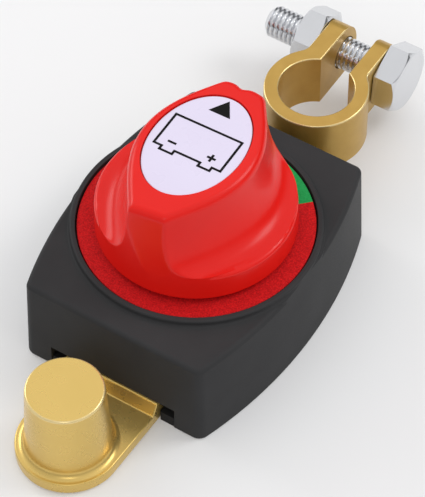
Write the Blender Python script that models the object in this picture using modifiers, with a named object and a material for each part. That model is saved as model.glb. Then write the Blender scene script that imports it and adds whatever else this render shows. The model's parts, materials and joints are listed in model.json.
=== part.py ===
"""Battery switch: a rotary disconnect between a battery post and its cable clamp.

Frame: metres, +Z up. The origin is on the knob's axis, at the underside of the housing. The tapered post is
at the -Y end and the ring clamp at the +Y end. The switch is shown on, with the knob's pointer towards +Y.
"""

import math

import bmesh
import bpy

MM = 0.001
SHARP_ANGLE = math.radians(35.0)

# Housing: a barrel in plan, open below, with a collar round the dial.
HOUSING_HALF_LENGTH = 35.27 * MM
HOUSING_END_HALF_WIDTH = 23.24 * MM
HOUSING_BULGE = 6.03 * MM
HOUSING_HEIGHT = 23.75 * MM
HOUSING_CORNER = 1.8 * MM
HOUSING_TOP_ROUND = 1.2 * MM
HOUSING_DRAFT = 0.87 * MM
WALL = 2.5 * MM
CEILING = 20.3 * MM
COLLAR_OUTER = 28.4 * MM
COLLAR_INNER = 27.05 * MM
COLLAR_TOP = 25.3 * MM
COLLAR_FOOT = 21.8 * MM
COLLAR_EDGE = 0.6 * MM
EDGE_MIDDLE = 0.3
DIAL_SEAT = 22.95 * MM
SPINDLE_BORE = 6.5 * MM
NOTCH_HALF_WIDTH = 16.4 * MM
NOTCH_HEIGHT = 6.2 * MM
BOSS_RADIUS = 3.6 * MM
BOSS_X = 17.6 * MM
BOSS_Y = 27.6 * MM

# Running and seating gap between neighbouring pieces.
GAP = 0.3 * MM

# Base plate, let into the housing from below.
BASE_THICKNESS = 3.0 * MM
PIVOT_BOSS_RADIUS = 7.0 * MM
PIVOT_BOSS_TOP = 4.0 * MM
PIVOT_HOLE_RADIUS = 3.3 * MM
PIVOT_HOLE_BOTTOM = 1.0 * MM
TAB_END = HOUSING_HALF_LENGTH - 0.4 * MM

# Dial.
DIAL_RADIUS = 26.75 * MM
DIAL_TOP = 24.77 * MM
DIAL_BORE = 8.0 * MM

# Screws.
BASE_SCREW_SHANK = 1.5 * MM
BASE_SCREW_HEAD = 3.1 * MM
BASE_SCREW_HEAD_HEIGHT = 1.5 * MM
BASE_SCREW_TIP = 13.7 * MM
TERMINAL_SCREW_SHANK = 1.6 * MM
TERMINAL_SCREW_HEAD = 3.3 * MM
TERMINAL_SCREW_HEAD_HEIGHT = 1.8 * MM
TERMINAL_SCREW_TIP = 0.9 * MM
TERMINAL_SCREW_X = 6.5 * MM
TERMINAL_SCREW_Y = 27.2 * MM
SCREW_SLOT_WIDTH = 0.8 * MM
SCREW_SLOT_DEPTH = 0.8 * MM
SCREW_SLOT_REACH = 0.6
SCREW_CROWN_RADIUS = 0.75
SCREW_CROWN_FOOT = 0.55

# Terminal bars and the contact pads on them.
BAR_HALF_WIDTH = 12.3 * MM
BAR_BOTTOM = BASE_THICKNESS + GAP
BAR_TOP = 6.0 * MM
BAR_INNER_END = 9.6 * MM
STEP_BOTTOM = 0.35 * MM
WALL_INNER_FACE = HOUSING_HALF_LENGTH - WALL
PAD_RADIUS = 4.5 * MM
PAD_Y = 15.0 * MM
PAD_THICKNESS = 1.2 * MM

# Battery post on its tongue: 1:9 taper.
POST_Y = -52.08 * MM
POST_TOP = 22.3 * MM
POST_TOP_RADIUS = 8.75 * MM
POST_TAPER = 1.0 / 18.0
POST_EDGE = 0.5 * MM
POST_FILLET = 1.8 * MM
TONGUE_TOP = 3.35 * MM
TONGUE_RADIUS = 12.0 * MM
STEP_TOP_Y = -35.5 * MM
STEP_FOOT_Y = -37.1 * MM

# Ring clamp.
RING_Y = 51.74 * MM
RING_BORE = 8.94 * MM
RING_OUTER = 12.4 * MM
RING_BOTTOM = 6.0 * MM
RING_TOP = 21.2 * MM
SLOT_LEFT = -3.6 * MM
SLOT_RIGHT = 4.2 * MM
EAR_OUTER = 8.2 * MM
EAR_FILLET_LEFT = 3.5 * MM
EAR_FILLET_RIGHT = 2.5 * MM
EAR_ROUND_START = 70.2 * MM
EAR_ROUND_DEPTH = 6.6 * MM
NECK_TOP = 11.0 * MM
NECK_HALF_WIDTH = 9.2 * MM
NECK_END = 43.6 * MM
NECK_ROUND = 3.0 * MM
NECK_FLAT = 2.4 * MM

# M8 clamp bolt along X, with its nut on the -X side.
BOLT_Y = 71.0 * MM
BOLT_Z = (RING_BOTTOM + RING_TOP) / 2
BOLT_RADIUS = 4.0 * MM
BOLT_HOLE = 4.3 * MM
BOLT_HEAD_INNER = EAR_OUTER + GAP
BOLT_HEAD_THICKNESS = 5.7 * MM
BOLT_LENGTH = 32.8 * MM
BOLT_POINT_LENGTH = 1.0 * MM
BOLT_POINT_DEPTH = 1.2 * MM
BOLT_POINT_EDGE_HEIGHT = 0.2 * MM
BOLT_POINT_EDGE_DEPTH = 0.8 * MM
HEX_ACROSS_FLATS = 15.0 * MM
HEX_FACE_RADIUS = 7.4 * MM
HEX_CHAMFER = 0.85 * MM
HEX_TURN = math.radians(-5.0)
NUT_THICKNESS = 5.9 * MM

# Knob: a drafted blank with two scoops that leave a lens-shaped grip.
KNOB_BOTTOM = 26.0 * MM
KNOB_TOP = 49.5 * MM
KNOB_BOTTOM_RADIUS = 22.8 * MM
KNOB_TOP_RADIUS = 21.9 * MM
GRIP_TURN = math.radians(1.6)
GRIP_CENTRE_Y = 1.0 * MM
GRIP_HALF_LENGTH = 22.5 * MM
GRIP_HALF_WIDTH = 13.6 * MM
GRIP_TIP_HALF_WIDTH = 3.9 * MM
GRIP_FULLNESS = 1.25
SCOOP_TOP = 43.0 * MM
SCOOP_BOTTOM = 33.0 * MM
SCOOP_REACH = 8.0 * MM
SCOOP_LIP = 0.4 * MM
WALL_DRAFT = 1.2 * MM
TOP_EDGE = 1.6 * MM
TOP_EDGE_MIDDLE = 0.4
KNOB_WALL = 2.2 * MM
KNOB_ROOF = 3.0 * MM
KNOB_COLUMNS = 64
CAVITY_COLUMNS = 32
SOCKET_RADIUS = 8.6 * MM
SOCKET_TOP = 41.5 * MM
SCREW_SEAT = 44.5 * MM
SCREW_WELL_RADIUS = 5.0 * MM
LABEL_HALF_X = 10.7 * MM
LABEL_HALF_Y = 15.2 * MM
LABEL_CENTRE_X = -0.5 * MM
LABEL_CENTRE_Y = 1.45 * MM
LABEL_TOP = 49.2 * MM
LABEL_THICKNESS = 0.6 * MM

# Spindle.
SPINDLE_PIN_RADIUS = 3.0 * MM
SPINDLE_PIN_BOTTOM = PIVOT_HOLE_BOTTOM + GAP
SPINDLE_SHOULDER = PIVOT_BOSS_TOP + GAP
SPINDLE_RADIUS = 6.2 * MM
SPINDLE_NECK_TOP = 25.6 * MM
SPINDLE_TOP = SOCKET_TOP - GAP
SPINDLE_SQUARE = 8.4 * MM
SPINDLE_CORE_RADIUS = 3.9 * MM
FLANGE_RADIUS = 13.0 * MM
FLANGE_BOTTOM = 17.0 * MM
FLANGE_TOP = CEILING - 0.4 * MM
STOP_REACH = 17.0 * MM
STOP_HALF_WIDTH = 2.8 * MM
STOP_ANGLE = math.radians(-45.0)
RIB_ANGLE = math.radians(66.5)
RIB_HALF_WIDTH = 1.6 * MM
SEAL_GROOVE_BOTTOM = 20.9 * MM
SEAL_GROOVE_TOP = 22.6 * MM
SEAL_GROOVE_RADIUS = 4.6 * MM
SEAL_RADIUS = 5.55 * MM
SEAL_SECTION = 0.65 * MM
KNOB_SCREW_SHANK = 2.0 * MM
KNOB_SCREW_HEAD = 4.4 * MM
KNOB_SCREW_HEAD_HEIGHT = 2.2 * MM
KNOB_SCREW_TIP = 30.5 * MM

# Contact bridge, its washer and the spring above it.
BRIDGE_BOTTOM = BAR_TOP + GAP + PAD_THICKNESS + GAP
BRIDGE_THICKNESS = 2.2 * MM
BRIDGE_HALF_LENGTH = 20.0 * MM
BRIDGE_HALF_WIDTH = 6.6 * MM
BRIDGE_CORNER = 2.0 * MM
WASHER_BORE = 6.3 * MM
WASHER_RADIUS = 9.8 * MM
WASHER_THICKNESS = 0.8 * MM
SPRING_WIRE = 0.55 * MM
SPRING_RADIUS = 8.0 * MM
SPRING_TURNS = 3.25
SPRING_POINTS_PER_TURN = 12

COLORS = {
    "black_plastic": ((0.045, 0.046, 0.048), 0.42, 0.0),
    "base_plastic": ((0.035, 0.035, 0.037), 0.55, 0.0),
    "red_plastic": ((0.70, 0.018, 0.014), 0.32, 0.0),
    "dial_red": ((0.52, 0.012, 0.014), 0.55, 0.0),
    "label": ((0.80, 0.74, 0.91), 0.25, 0.0),
    "brass": ((0.72, 0.48, 0.15), 0.25, 1.0),
    "steel": ((0.60, 0.61, 0.63), 0.25, 1.0),
    "copper": ((0.72, 0.34, 0.20), 0.30, 1.0),
    "silver_contact": ((0.78, 0.77, 0.74), 0.30, 1.0),
    "rubber": ((0.02, 0.02, 0.02), 0.75, 0.0),
    "spindle_plastic": ((0.75, 0.73, 0.68), 0.50, 0.0),
}


def clear_scene():
    for obj in list(bpy.data.objects):
        bpy.data.objects.remove(obj, do_unlink=True)


def new_collection(name):
    collection = bpy.data.collections.new(name)
    bpy.context.scene.collection.children.link(collection)
    return collection


def make_materials():
    made = {}
    for name, (color, roughness, metallic) in COLORS.items():
        material = bpy.data.materials.new(name)
        material.use_nodes = True
        shader = material.node_tree.nodes["Principled BSDF"]
        shader.inputs["Base Color"].default_value = (*color, 1.0)
        shader.inputs["Roughness"].default_value = roughness
        shader.inputs["Metallic"].default_value = metallic
        made[name] = material
    return made


clear_scene()
PARTS = new_collection("battery_switch")
CUTTERS = new_collection("cutters")
MATERIALS = make_materials()


# ---- Building blocks ----


def add_object(name, data, material=None, location=(0.0, 0.0, 0.0)):
    """A piece of the switch when it has a material, and a hidden cutter or filler when it has none."""
    obj = bpy.data.objects.new(name, data)
    obj.location = location
    if material is None:
        CUTTERS.objects.link(obj)
        obj.hide_render = True
        obj.display_type = "WIRE"
    else:
        PARTS.objects.link(obj)
        data.materials.append(MATERIALS[material])
        if isinstance(data, bpy.types.Mesh):
            data.shade_smooth()
            data.set_sharp_from_angle(angle=SHARP_ANGLE)
    return obj


def mesh_from(name, bm):
    bmesh.ops.recalc_face_normals(bm, faces=bm.faces)
    mesh = bpy.data.meshes.new(name)
    bm.to_mesh(mesh)
    bm.free()
    return mesh


def prism(name, outline, low, high, material=None, location=(0.0, 0.0, 0.0)):
    """A flat outline in X and Y, raised from low to high."""
    bm = bmesh.new()
    face = bm.faces.new([bm.verts.new((x, y, low)) for x, y in outline])
    raised = bmesh.ops.extrude_face_region(bm, geom=[face])
    tops = [part for part in raised["geom"] if isinstance(part, bmesh.types.BMVert)]
    bmesh.ops.translate(bm, verts=tops, vec=(0.0, 0.0, high - low))
    return add_object(name, mesh_from(name, bm), material, location)


def box(name, low, high, material=None):
    outline = [(low[0], low[1]), (high[0], low[1]), (high[0], high[1]), (low[0], high[1])]
    return prism(name, outline, low[2], high[2], material)


def cylinder(name, radius, low, high, centre=(0.0, 0.0), segments=28, material=None):
    bm = bmesh.new()
    bmesh.ops.create_cone(
        bm, cap_ends=True, segments=segments, radius1=radius, radius2=radius, depth=high - low
    )
    return add_object(name, mesh_from(name, bm), material, (centre[0], centre[1], (low + high) / 2))


def turned(name, profile, material=None, centre=(0.0, 0.0), steps=48, closed=False):
    """A profile of (radius, height) points, outer side from top to bottom, turned about a vertical axis."""
    mesh = bpy.data.meshes.new(name)
    edges = [(i, i + 1) for i in range(len(profile) - 1)]
    if closed:
        edges.append((len(profile) - 1, 0))
    mesh.from_pydata([(radius, 0.0, height) for radius, height in profile], edges, [])
    obj = add_object(name, mesh, material, (centre[0], centre[1], 0.0))
    screw = obj.modifiers.new("turn", "SCREW")
    screw.steps = steps
    screw.render_steps = steps
    screw.use_merge_vertices = True
    screw.merge_threshold = 0.00001
    screw.use_smooth_shade = True
    return obj


def boolean(target, other, operation):
    modifier = target.modifiers.new(other.name, "BOOLEAN")
    modifier.operation = operation
    modifier.object = other
    modifier.solver = "EXACT"


def cut(target, *cutters):
    for cutter in cutters:
        boolean(target, cutter, "DIFFERENCE")


def join(target, *others):
    for other in others:
        boolean(target, other, "UNION")


def arc(centre, radius, start, end, count):
    """Points along an arc, ends included, angles in radians."""
    points = []
    for i in range(count + 1):
        angle = start + (end - start) * i / count
        points.append((centre[0] + radius * math.cos(angle), centre[1] + radius * math.sin(angle)))
    return points


# ---- Housing and base plate ----


def barrel(name, inset, low, high, material=None, top_round=0.0, draft=0.0):
    """The housing's plan, set in by a wall; its top edge may be rounded and its sides may lean in."""
    half_length = HOUSING_HALF_LENGTH - inset
    end_half_width = HOUSING_END_HALF_WIDTH - inset
    side_radius = (half_length**2 + HOUSING_BULGE**2) / (2 * HOUSING_BULGE)
    half_angle = math.asin(half_length / side_radius)
    right_centre = (end_half_width + HOUSING_BULGE - side_radius, 0.0)
    left_centre = (-right_centre[0], 0.0)
    outline = arc(right_centre, side_radius, -half_angle, half_angle, 14)
    outline += arc(left_centre, side_radius, math.pi - half_angle, math.pi + half_angle, 14)
    obj = prism(name, outline, low, high, material)
    bm = bmesh.new()
    bm.from_mesh(obj.data)
    corner_edges = [
        edge
        for edge in bm.edges
        if abs(edge.verts[0].co.z - edge.verts[1].co.z) > (high - low) / 2
        and abs(abs(edge.verts[0].co.y) - half_length) < GAP / 10
    ]
    bmesh.ops.bevel(
        bm, geom=corner_edges, offset=HOUSING_CORNER - inset / 2, segments=4, profile=0.5, affect="EDGES"
    )
    if top_round > 0.0:
        top_edges = [edge for edge in bm.edges if min(v.co.z for v in edge.verts) > high - GAP / 10]
        bmesh.ops.bevel(
            bm, geom=top_edges, offset=top_round, segments=3, profile=0.5, affect="EDGES"
        )
    half_width = end_half_width + HOUSING_BULGE
    for vert in bm.verts:
        rise = (vert.co.z - low) / (high - low)
        vert.co.x *= 1.0 - rise * draft / half_width
        vert.co.y *= 1.0 - rise * draft / half_length
    bm.to_mesh(obj.data)
    bm.free()
    if material:
        obj.data.shade_smooth()
        obj.data.set_sharp_from_angle(angle=SHARP_ANGLE)
    return obj


def boss_centres():
    return [(x, y) for y in (-BOSS_Y, BOSS_Y) for x in (-BOSS_X, BOSS_X)]


def terminal_screw_centres():
    return [
        (x, y)
        for y in (-TERMINAL_SCREW_Y, TERMINAL_SCREW_Y)
        for x in (-TERMINAL_SCREW_X, TERMINAL_SCREW_X)
    ]


def posts(name, centres, radius, low, high, segments=14):
    """Equal round bars standing at several places, as one cutter or filler."""
    bm = bmesh.new()
    for x, y in centres:
        made = bmesh.ops.create_cone(
            bm, cap_ends=True, segments=segments, radius1=radius, radius2=radius, depth=high - low
        )
        bmesh.ops.translate(bm, verts=made["verts"], vec=(x, y, (low + high) / 2))
    return add_object(name, mesh_from(name, bm))


def stop_rib(name, angle):
    """A rib that hangs from the housing's ceiling and stops the spindle's lug."""
    rib = box(
        name,
        (FLANGE_RADIUS + GAP, -RIB_HALF_WIDTH, FLANGE_BOTTOM),
        (STOP_REACH, RIB_HALF_WIDTH, CEILING + GAP),
    )
    rib.rotation_euler.z = angle
    return rib


def make_housing():
    housing = barrel(
        "housing", 0.0, 0.0, HOUSING_HEIGHT, "black_plastic", HOUSING_TOP_ROUND, HOUSING_DRAFT
    )
    collar_profile = [
        (0.0, COLLAR_TOP),
        (COLLAR_OUTER - COLLAR_EDGE, COLLAR_TOP),
        (COLLAR_OUTER - EDGE_MIDDLE * COLLAR_EDGE, COLLAR_TOP - EDGE_MIDDLE * COLLAR_EDGE),
        (COLLAR_OUTER, COLLAR_TOP - COLLAR_EDGE),
        (COLLAR_OUTER, COLLAR_FOOT),
        (0.0, COLLAR_FOOT),
    ]
    join(housing, turned("collar_filler", collar_profile, steps=64))
    cut(
        housing,
        barrel("chamber_cutter", WALL, -WALL, CEILING),
        cylinder("dial_seat_cutter", COLLAR_INNER, DIAL_SEAT, COLLAR_TOP + WALL, segments=64),
        cylinder("spindle_bore_cutter", SPINDLE_BORE, CEILING - WALL, COLLAR_TOP + WALL),
        box(
            "notch_cutter",
            (-NOTCH_HALF_WIDTH, -HOUSING_HALF_LENGTH - WALL, -WALL),
            (NOTCH_HALF_WIDTH, HOUSING_HALF_LENGTH + WALL, NOTCH_HEIGHT),
        ),
    )
    boss_bottom = BASE_THICKNESS + GAP
    join(
        housing,
        posts("boss_filler", boss_centres(), BOSS_RADIUS, boss_bottom, CEILING + GAP),
        stop_rib("stop_rib_on_filler", -RIB_ANGLE),
        stop_rib("stop_rib_off_filler", RIB_ANGLE),
    )
    pilot_top = BASE_SCREW_TIP + GAP
    pilot_radius = BASE_SCREW_SHANK + GAP
    cut(housing, posts("boss_pilot_cutter", boss_centres(), pilot_radius, -WALL, pilot_top, 12))


def make_base_plate():
    base = barrel("base_plate", WALL + GAP, 0.0, BASE_THICKNESS, "base_plastic")
    join(base, cylinder("pivot_boss_filler", PIVOT_BOSS_RADIUS, BASE_THICKNESS / 2, PIVOT_BOSS_TOP))
    tab_low = BAR_HALF_WIDTH + GAP
    tab_high = NOTCH_HALF_WIDTH - GAP
    for side, (low, high) in (("left", (-tab_high, -tab_low)), ("right", (tab_low, tab_high))):
        tab = box(f"tab_{side}_filler", (low, -TAB_END, 0.0), (high, TAB_END, BASE_THICKNESS))
        join(base, tab)
    well_top = BASE_SCREW_HEAD_HEIGHT + 2 * GAP
    shank_hole = BASE_SCREW_SHANK + GAP
    terminal_hole = TERMINAL_SCREW_SHANK + GAP
    cut(
        base,
        cylinder("pivot_hole_cutter", PIVOT_HOLE_RADIUS, PIVOT_HOLE_BOTTOM, PIVOT_BOSS_TOP + WALL),
        posts("screw_well_cutter", boss_centres(), BASE_SCREW_HEAD + GAP, -WALL, well_top),
        posts("screw_hole_cutter", boss_centres(), shank_hole, -WALL, BASE_THICKNESS + WALL, 12),
        posts(
            "terminal_hole_cutter",
            terminal_screw_centres(),
            terminal_hole,
            TERMINAL_SCREW_TIP - GAP,
            BASE_THICKNESS + WALL,
            12,
        ),
    )


def make_dial():
    half = [(DIAL_BORE, DIAL_SEAT + GAP), (DIAL_BORE, DIAL_TOP), (DIAL_RADIUS, DIAL_TOP)]
    half.append((DIAL_RADIUS, DIAL_SEAT + GAP))
    turned("dial_plate", half, "dial_red", steps=64, closed=True)


# ---- Screws ----


def pan_screw(name, shank, head, head_height, tip, seat, centre, up):
    """A pan-head screw with a cross slot. The head rises above its seat if up, or hangs below it."""
    side = 1.0 if up else -1.0
    profile = [
        (0.0, seat + side * head_height),
        (head * SCREW_CROWN_RADIUS, seat + side * head_height),
        (head, seat + side * head_height * SCREW_CROWN_FOOT),
        (head, seat),
        (shank, seat),
        (shank, tip + side * shank / 2),
        (shank / 2, tip),
        (0.0, tip),
    ]
    screw = turned(name, profile if up else profile[::-1], "steel", centre, steps=14)
    head_face = seat + side * head_height
    low, high = sorted((head_face - side * SCREW_SLOT_DEPTH, head_face + side * SCREW_SLOT_DEPTH))
    reach = head * SCREW_SLOT_REACH
    for suffix, half_x, half_y in (("x", reach, SCREW_SLOT_WIDTH / 2), ("y", SCREW_SLOT_WIDTH / 2, reach)):
        slot = box(f"{name}_slot_{suffix}_cutter", (-half_x, -half_y, low), (half_x, half_y, high))
        slot.location = (centre[0], centre[1], 0.0)
        cut(screw, slot)


def make_base_screws():
    seat = BASE_SCREW_HEAD_HEIGHT + GAP
    for number, centre in enumerate(boss_centres(), 1):
        pan_screw(
            f"base_screw_{number}",
            BASE_SCREW_SHANK,
            BASE_SCREW_HEAD,
            BASE_SCREW_HEAD_HEIGHT,
            BASE_SCREW_TIP,
            seat,
            centre,
            up=False,
        )


def make_terminal_screws():
    for number, centre in enumerate(terminal_screw_centres(), 1):
        pan_screw(
            f"terminal_screw_{number}",
            TERMINAL_SCREW_SHANK,
            TERMINAL_SCREW_HEAD,
            TERMINAL_SCREW_HEAD_HEIGHT,
            TERMINAL_SCREW_TIP,
            BAR_TOP + GAP,
            centre,
            up=True,
        )


# ---- Terminals and contacts ----


def side_profile(name, profile, half_width, material=None):
    """A profile of (y, z) points, given thickness along X from -half_width to half_width."""
    bm = bmesh.new()
    face = bm.faces.new([bm.verts.new((-half_width, y, z)) for y, z in profile])
    moved = bmesh.ops.extrude_face_region(bm, geom=[face])
    ends = [part for part in moved["geom"] if isinstance(part, bmesh.types.BMVert)]
    bmesh.ops.translate(bm, verts=ends, vec=(2 * half_width, 0.0, 0.0))
    return add_object(name, mesh_from(name, bm), material)


def make_post_terminal():
    bar = [
        (-BAR_INNER_END, BAR_BOTTOM),
        (-BAR_INNER_END, BAR_TOP),
        (STEP_TOP_Y, BAR_TOP),
        (STEP_FOOT_Y, TONGUE_TOP),
        (POST_Y, TONGUE_TOP),
        (POST_Y, STEP_BOTTOM),
        (-WALL_INNER_FACE, STEP_BOTTOM),
        (-WALL_INNER_FACE, BAR_BOTTOM),
    ]
    terminal = side_profile("post_terminal", bar, BAR_HALF_WIDTH, "brass")
    round_end = arc((0.0, POST_Y), TONGUE_RADIUS, math.pi, 2 * math.pi, 24)
    tongue_sides = [
        *round_end,
        (BAR_HALF_WIDTH, STEP_TOP_Y),
        (BAR_HALF_WIDTH, -WALL_INNER_FACE),
        (BAR_HALF_WIDTH, 0.0),
        (-BAR_HALF_WIDTH, 0.0),
        (-BAR_HALF_WIDTH, STEP_TOP_Y),
    ]
    outline = prism("tongue_outline", tongue_sides, -WALL, BAR_TOP + WALL)
    boolean(terminal, outline, "INTERSECT")
    tongue = prism("tongue_end_filler", [*round_end, (0.0, POST_Y + GAP)], STEP_BOTTOM, TONGUE_TOP)
    post_foot_radius = POST_TOP_RADIUS + (POST_TOP - TONGUE_TOP - POST_FILLET) * POST_TAPER
    fillet_centre = (post_foot_radius + POST_FILLET, TONGUE_TOP + POST_FILLET)
    fillet = arc(fillet_centre, POST_FILLET, math.pi, 1.5 * math.pi, 4)
    post = [
        (0.0, POST_TOP),
        (POST_TOP_RADIUS - POST_EDGE, POST_TOP),
        (POST_TOP_RADIUS, POST_TOP - POST_EDGE),
        *fillet,
        (fillet[-1][0], STEP_BOTTOM + POST_EDGE),
        (0.0, STEP_BOTTOM + POST_EDGE),
    ]
    join(terminal, tongue, turned("post_filler", post, centre=(0.0, POST_Y), steps=48))
    hole = TERMINAL_SCREW_SHANK + GAP
    centres = [centre for centre in terminal_screw_centres() if centre[1] < 0.0]
    cut(terminal, posts("post_bar_hole_cutter", centres, hole, 0.0, BAR_TOP + WALL, 12))


def ear_fillet(side, radius):
    """The concave blend between the ring and one ear's outer side, from the ring outwards."""
    reach = EAR_OUTER + radius
    rise = math.sqrt((RING_OUTER + radius) ** 2 - reach**2)
    centre = (side * reach, RING_Y + rise)
    on_ring = math.atan2(-rise, -side * reach)
    on_ear = math.pi if side > 0 else 0.0
    if side > 0:
        on_ring += 2 * math.pi
    return arc(centre, radius, on_ring, on_ear, 5)


def clamp_outline():
    bore_right = math.acos(SLOT_RIGHT / RING_BORE)
    bore_left = math.acos(SLOT_LEFT / RING_BORE)
    tip = BOLT_Y + RING_TOP
    right = ear_fillet(1.0, EAR_FILLET_RIGHT)
    left = ear_fillet(-1.0, EAR_FILLET_LEFT)
    ring_right = math.atan2(right[0][1] - RING_Y, right[0][0])
    ring_left = math.atan2(left[0][1] - RING_Y, left[0][0]) - 2 * math.pi
    centre = (0.0, RING_Y)
    return [
        *arc(centre, RING_BORE, bore_right, bore_left - 2 * math.pi, 40),
        (SLOT_LEFT, tip),
        (-EAR_OUTER, tip),
        *reversed(left),
        *arc(centre, RING_OUTER, ring_left, ring_right, 36)[1:-1],
        *right,
        (EAR_OUTER, tip),
        (SLOT_RIGHT, tip),
    ]


def make_clamp_terminal():
    clamp = prism("clamp_terminal", clamp_outline(), RING_BOTTOM, RING_TOP, "brass")
    before_ring = RING_Y - RING_OUTER - WALL
    tip_round = [
        (EAR_ROUND_START + EAR_ROUND_DEPTH * across, BOLT_Z + (RING_TOP - BOLT_Z) * up)
        for across, up in arc((0.0, 0.0), 1.0, -math.pi / 2, math.pi / 2, 12)
    ]
    ear_round = [
        (before_ring, RING_BOTTOM - WALL),
        (EAR_ROUND_START, RING_BOTTOM - WALL),
        *tip_round,
        (EAR_ROUND_START, RING_TOP + WALL),
        (before_ring, RING_TOP + WALL),
    ]
    boolean(clamp, side_profile("ear_round_outline", ear_round, RING_OUTER + WALL), "INTERSECT")
    rise = NECK_TOP - BAR_TOP
    shoulder = NECK_END - rise - NECK_FLAT
    bar = [
        (BAR_INNER_END, BAR_BOTTOM),
        (WALL_INNER_FACE, BAR_BOTTOM),
        (WALL_INNER_FACE, STEP_BOTTOM),
        (NECK_END - NECK_ROUND, STEP_BOTTOM),
        (NECK_END, STEP_BOTTOM + NECK_ROUND),
        (NECK_END, BAR_TOP),
        (BAR_INNER_END, BAR_TOP),
    ]
    neck = [
        (shoulder, STEP_BOTTOM + NECK_ROUND),
        (NECK_END, STEP_BOTTOM + NECK_ROUND),
        (NECK_END, NECK_TOP),
        (shoulder + rise, NECK_TOP),
        *reversed(arc((shoulder, NECK_TOP), rise, -math.pi / 2, 0.0, 4)[:-1]),
    ]
    join(
        clamp,
        side_profile("clamp_bar_filler", bar, BAR_HALF_WIDTH),
        side_profile("neck_filler", neck, NECK_HALF_WIDTH),
    )
    hole = TERMINAL_SCREW_SHANK + GAP
    centres = [centre for centre in terminal_screw_centres() if centre[1] > 0.0]
    bolt_hole = cylinder("bolt_hole_cutter", BOLT_HOLE, -RING_OUTER, RING_OUTER, segments=24)
    bolt_hole.location = (0.0, BOLT_Y, BOLT_Z)
    bolt_hole.rotation_euler.y = math.pi / 2
    cut(
        clamp,
        cylinder("ring_bore_cutter", RING_BORE, -WALL, RING_TOP + WALL, (0.0, RING_Y), 40),
        bolt_hole,
        posts("clamp_bar_hole_cutter", centres, hole, 0.0, BAR_TOP + WALL, 12),
    )


def make_contacts():
    low = BAR_TOP + GAP
    for name, y in (("post_contact", -PAD_Y), ("clamp_contact", PAD_Y)):
        pad = [
            (0.0, low + PAD_THICKNESS),
            (PAD_RADIUS - GAP, low + PAD_THICKNESS),
            (PAD_RADIUS, low + PAD_THICKNESS - GAP),
            (PAD_RADIUS, low),
            (0.0, low),
        ]
        turned(name, pad, "silver_contact", (0.0, y), steps=24)


# ---- Clamp bolt and nut, built along Z and laid along X ----


def hexagon(across_flats):
    """Hexagon in the plane of a piece that will be laid along X; its first corner points upwards."""
    radius = across_flats / math.sqrt(3)
    corners = []
    for k in range(6):
        angle = HEX_TURN + math.pi + k * math.pi / 3
        corners.append((radius * math.cos(angle), radius * math.sin(angle)))
    return corners


def lay_along_x(obj):
    obj.location = (0.0, BOLT_Y, BOLT_Z)
    obj.rotation_euler.y = math.pi / 2


def chamfer_outline(name, low, high, both):
    """The turned outline that cuts a hexagon's corners, on its outer face or on both faces."""
    corner = HEX_ACROSS_FLATS / math.sqrt(3)
    slope = HEX_CHAMFER / (corner - HEX_FACE_RADIUS)
    wide = corner + GAP
    drop = slope * (wide - HEX_FACE_RADIUS)
    foot = [(wide, low + drop), (HEX_FACE_RADIUS, low)] if both else [(wide, low)]
    profile = [(0.0, high), (HEX_FACE_RADIUS, high), (wide, high - drop), *foot, (0.0, low)]
    return turned(name, profile, steps=36)


def make_bolt():
    head_face = BOLT_HEAD_INNER + BOLT_HEAD_THICKNESS
    bolt = prism("clamp_bolt", hexagon(HEX_ACROSS_FLATS), BOLT_HEAD_INNER, head_face, "steel")
    outline = chamfer_outline("bolt_head_outline", BOLT_HEAD_INNER, head_face, both=False)
    lay_along_x(outline)
    boolean(bolt, outline, "INTERSECT")
    tip = BOLT_HEAD_INNER - BOLT_LENGTH
    shank = [
        (0.0, BOLT_HEAD_INNER + GAP),
        (BOLT_RADIUS, BOLT_HEAD_INNER + GAP),
        (BOLT_RADIUS, tip + BOLT_POINT_LENGTH),
        (BOLT_RADIUS - BOLT_POINT_EDGE_DEPTH, tip + BOLT_POINT_EDGE_HEIGHT),
        (BOLT_RADIUS - BOLT_POINT_DEPTH, tip),
        (0.0, tip),
    ]
    shank = turned("bolt_shank_filler", shank, steps=24)
    lay_along_x(shank)
    join(bolt, shank)
    lay_along_x(bolt)


def make_nut():
    inner = -EAR_OUTER - GAP
    outer = inner - NUT_THICKNESS
    nut = prism("clamp_nut", hexagon(HEX_ACROSS_FLATS), outer, inner, "steel")
    outline = chamfer_outline("nut_outline", outer, inner, both=True)
    hole = cylinder("nut_bore_cutter", BOLT_RADIUS + GAP, outer - WALL, inner + WALL, segments=24)
    for cutter in (outline, hole):
        lay_along_x(cutter)
    hole.location.x = (outer + inner) / 2
    boolean(nut, outline, "INTERSECT")
    cut(nut, hole)
    lay_along_x(nut)


# ---- Knob and what turns with it ----


def scoop_spread(z):
    """How far the grip's side stands out from its top outline at height z."""
    if z >= SCOOP_TOP:
        upper = (KNOB_TOP - z) / (KNOB_TOP - SCOOP_TOP)
        rounding = max(0.0, 1.0 - (KNOB_TOP - z) / TOP_EDGE)
        return WALL_DRAFT * upper - TOP_EDGE * (1.0 - math.sqrt(max(0.0, 1.0 - rounding**2)))
    sweep = min(1.0, (SCOOP_TOP - z) / (SCOOP_TOP - SCOOP_BOTTOM))
    return WALL_DRAFT + SCOOP_REACH * (1.0 - math.sqrt(1.0 - sweep**2))


def grip_half_width(y, z):
    along = min(1.0, abs(y - GRIP_CENTRE_Y) / GRIP_HALF_LENGTH)
    lens = (1.0 - along**2) ** GRIP_FULLNESS
    return GRIP_TIP_HALF_WIDTH + (GRIP_HALF_WIDTH - GRIP_TIP_HALF_WIDTH) * lens + scoop_spread(z)


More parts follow.
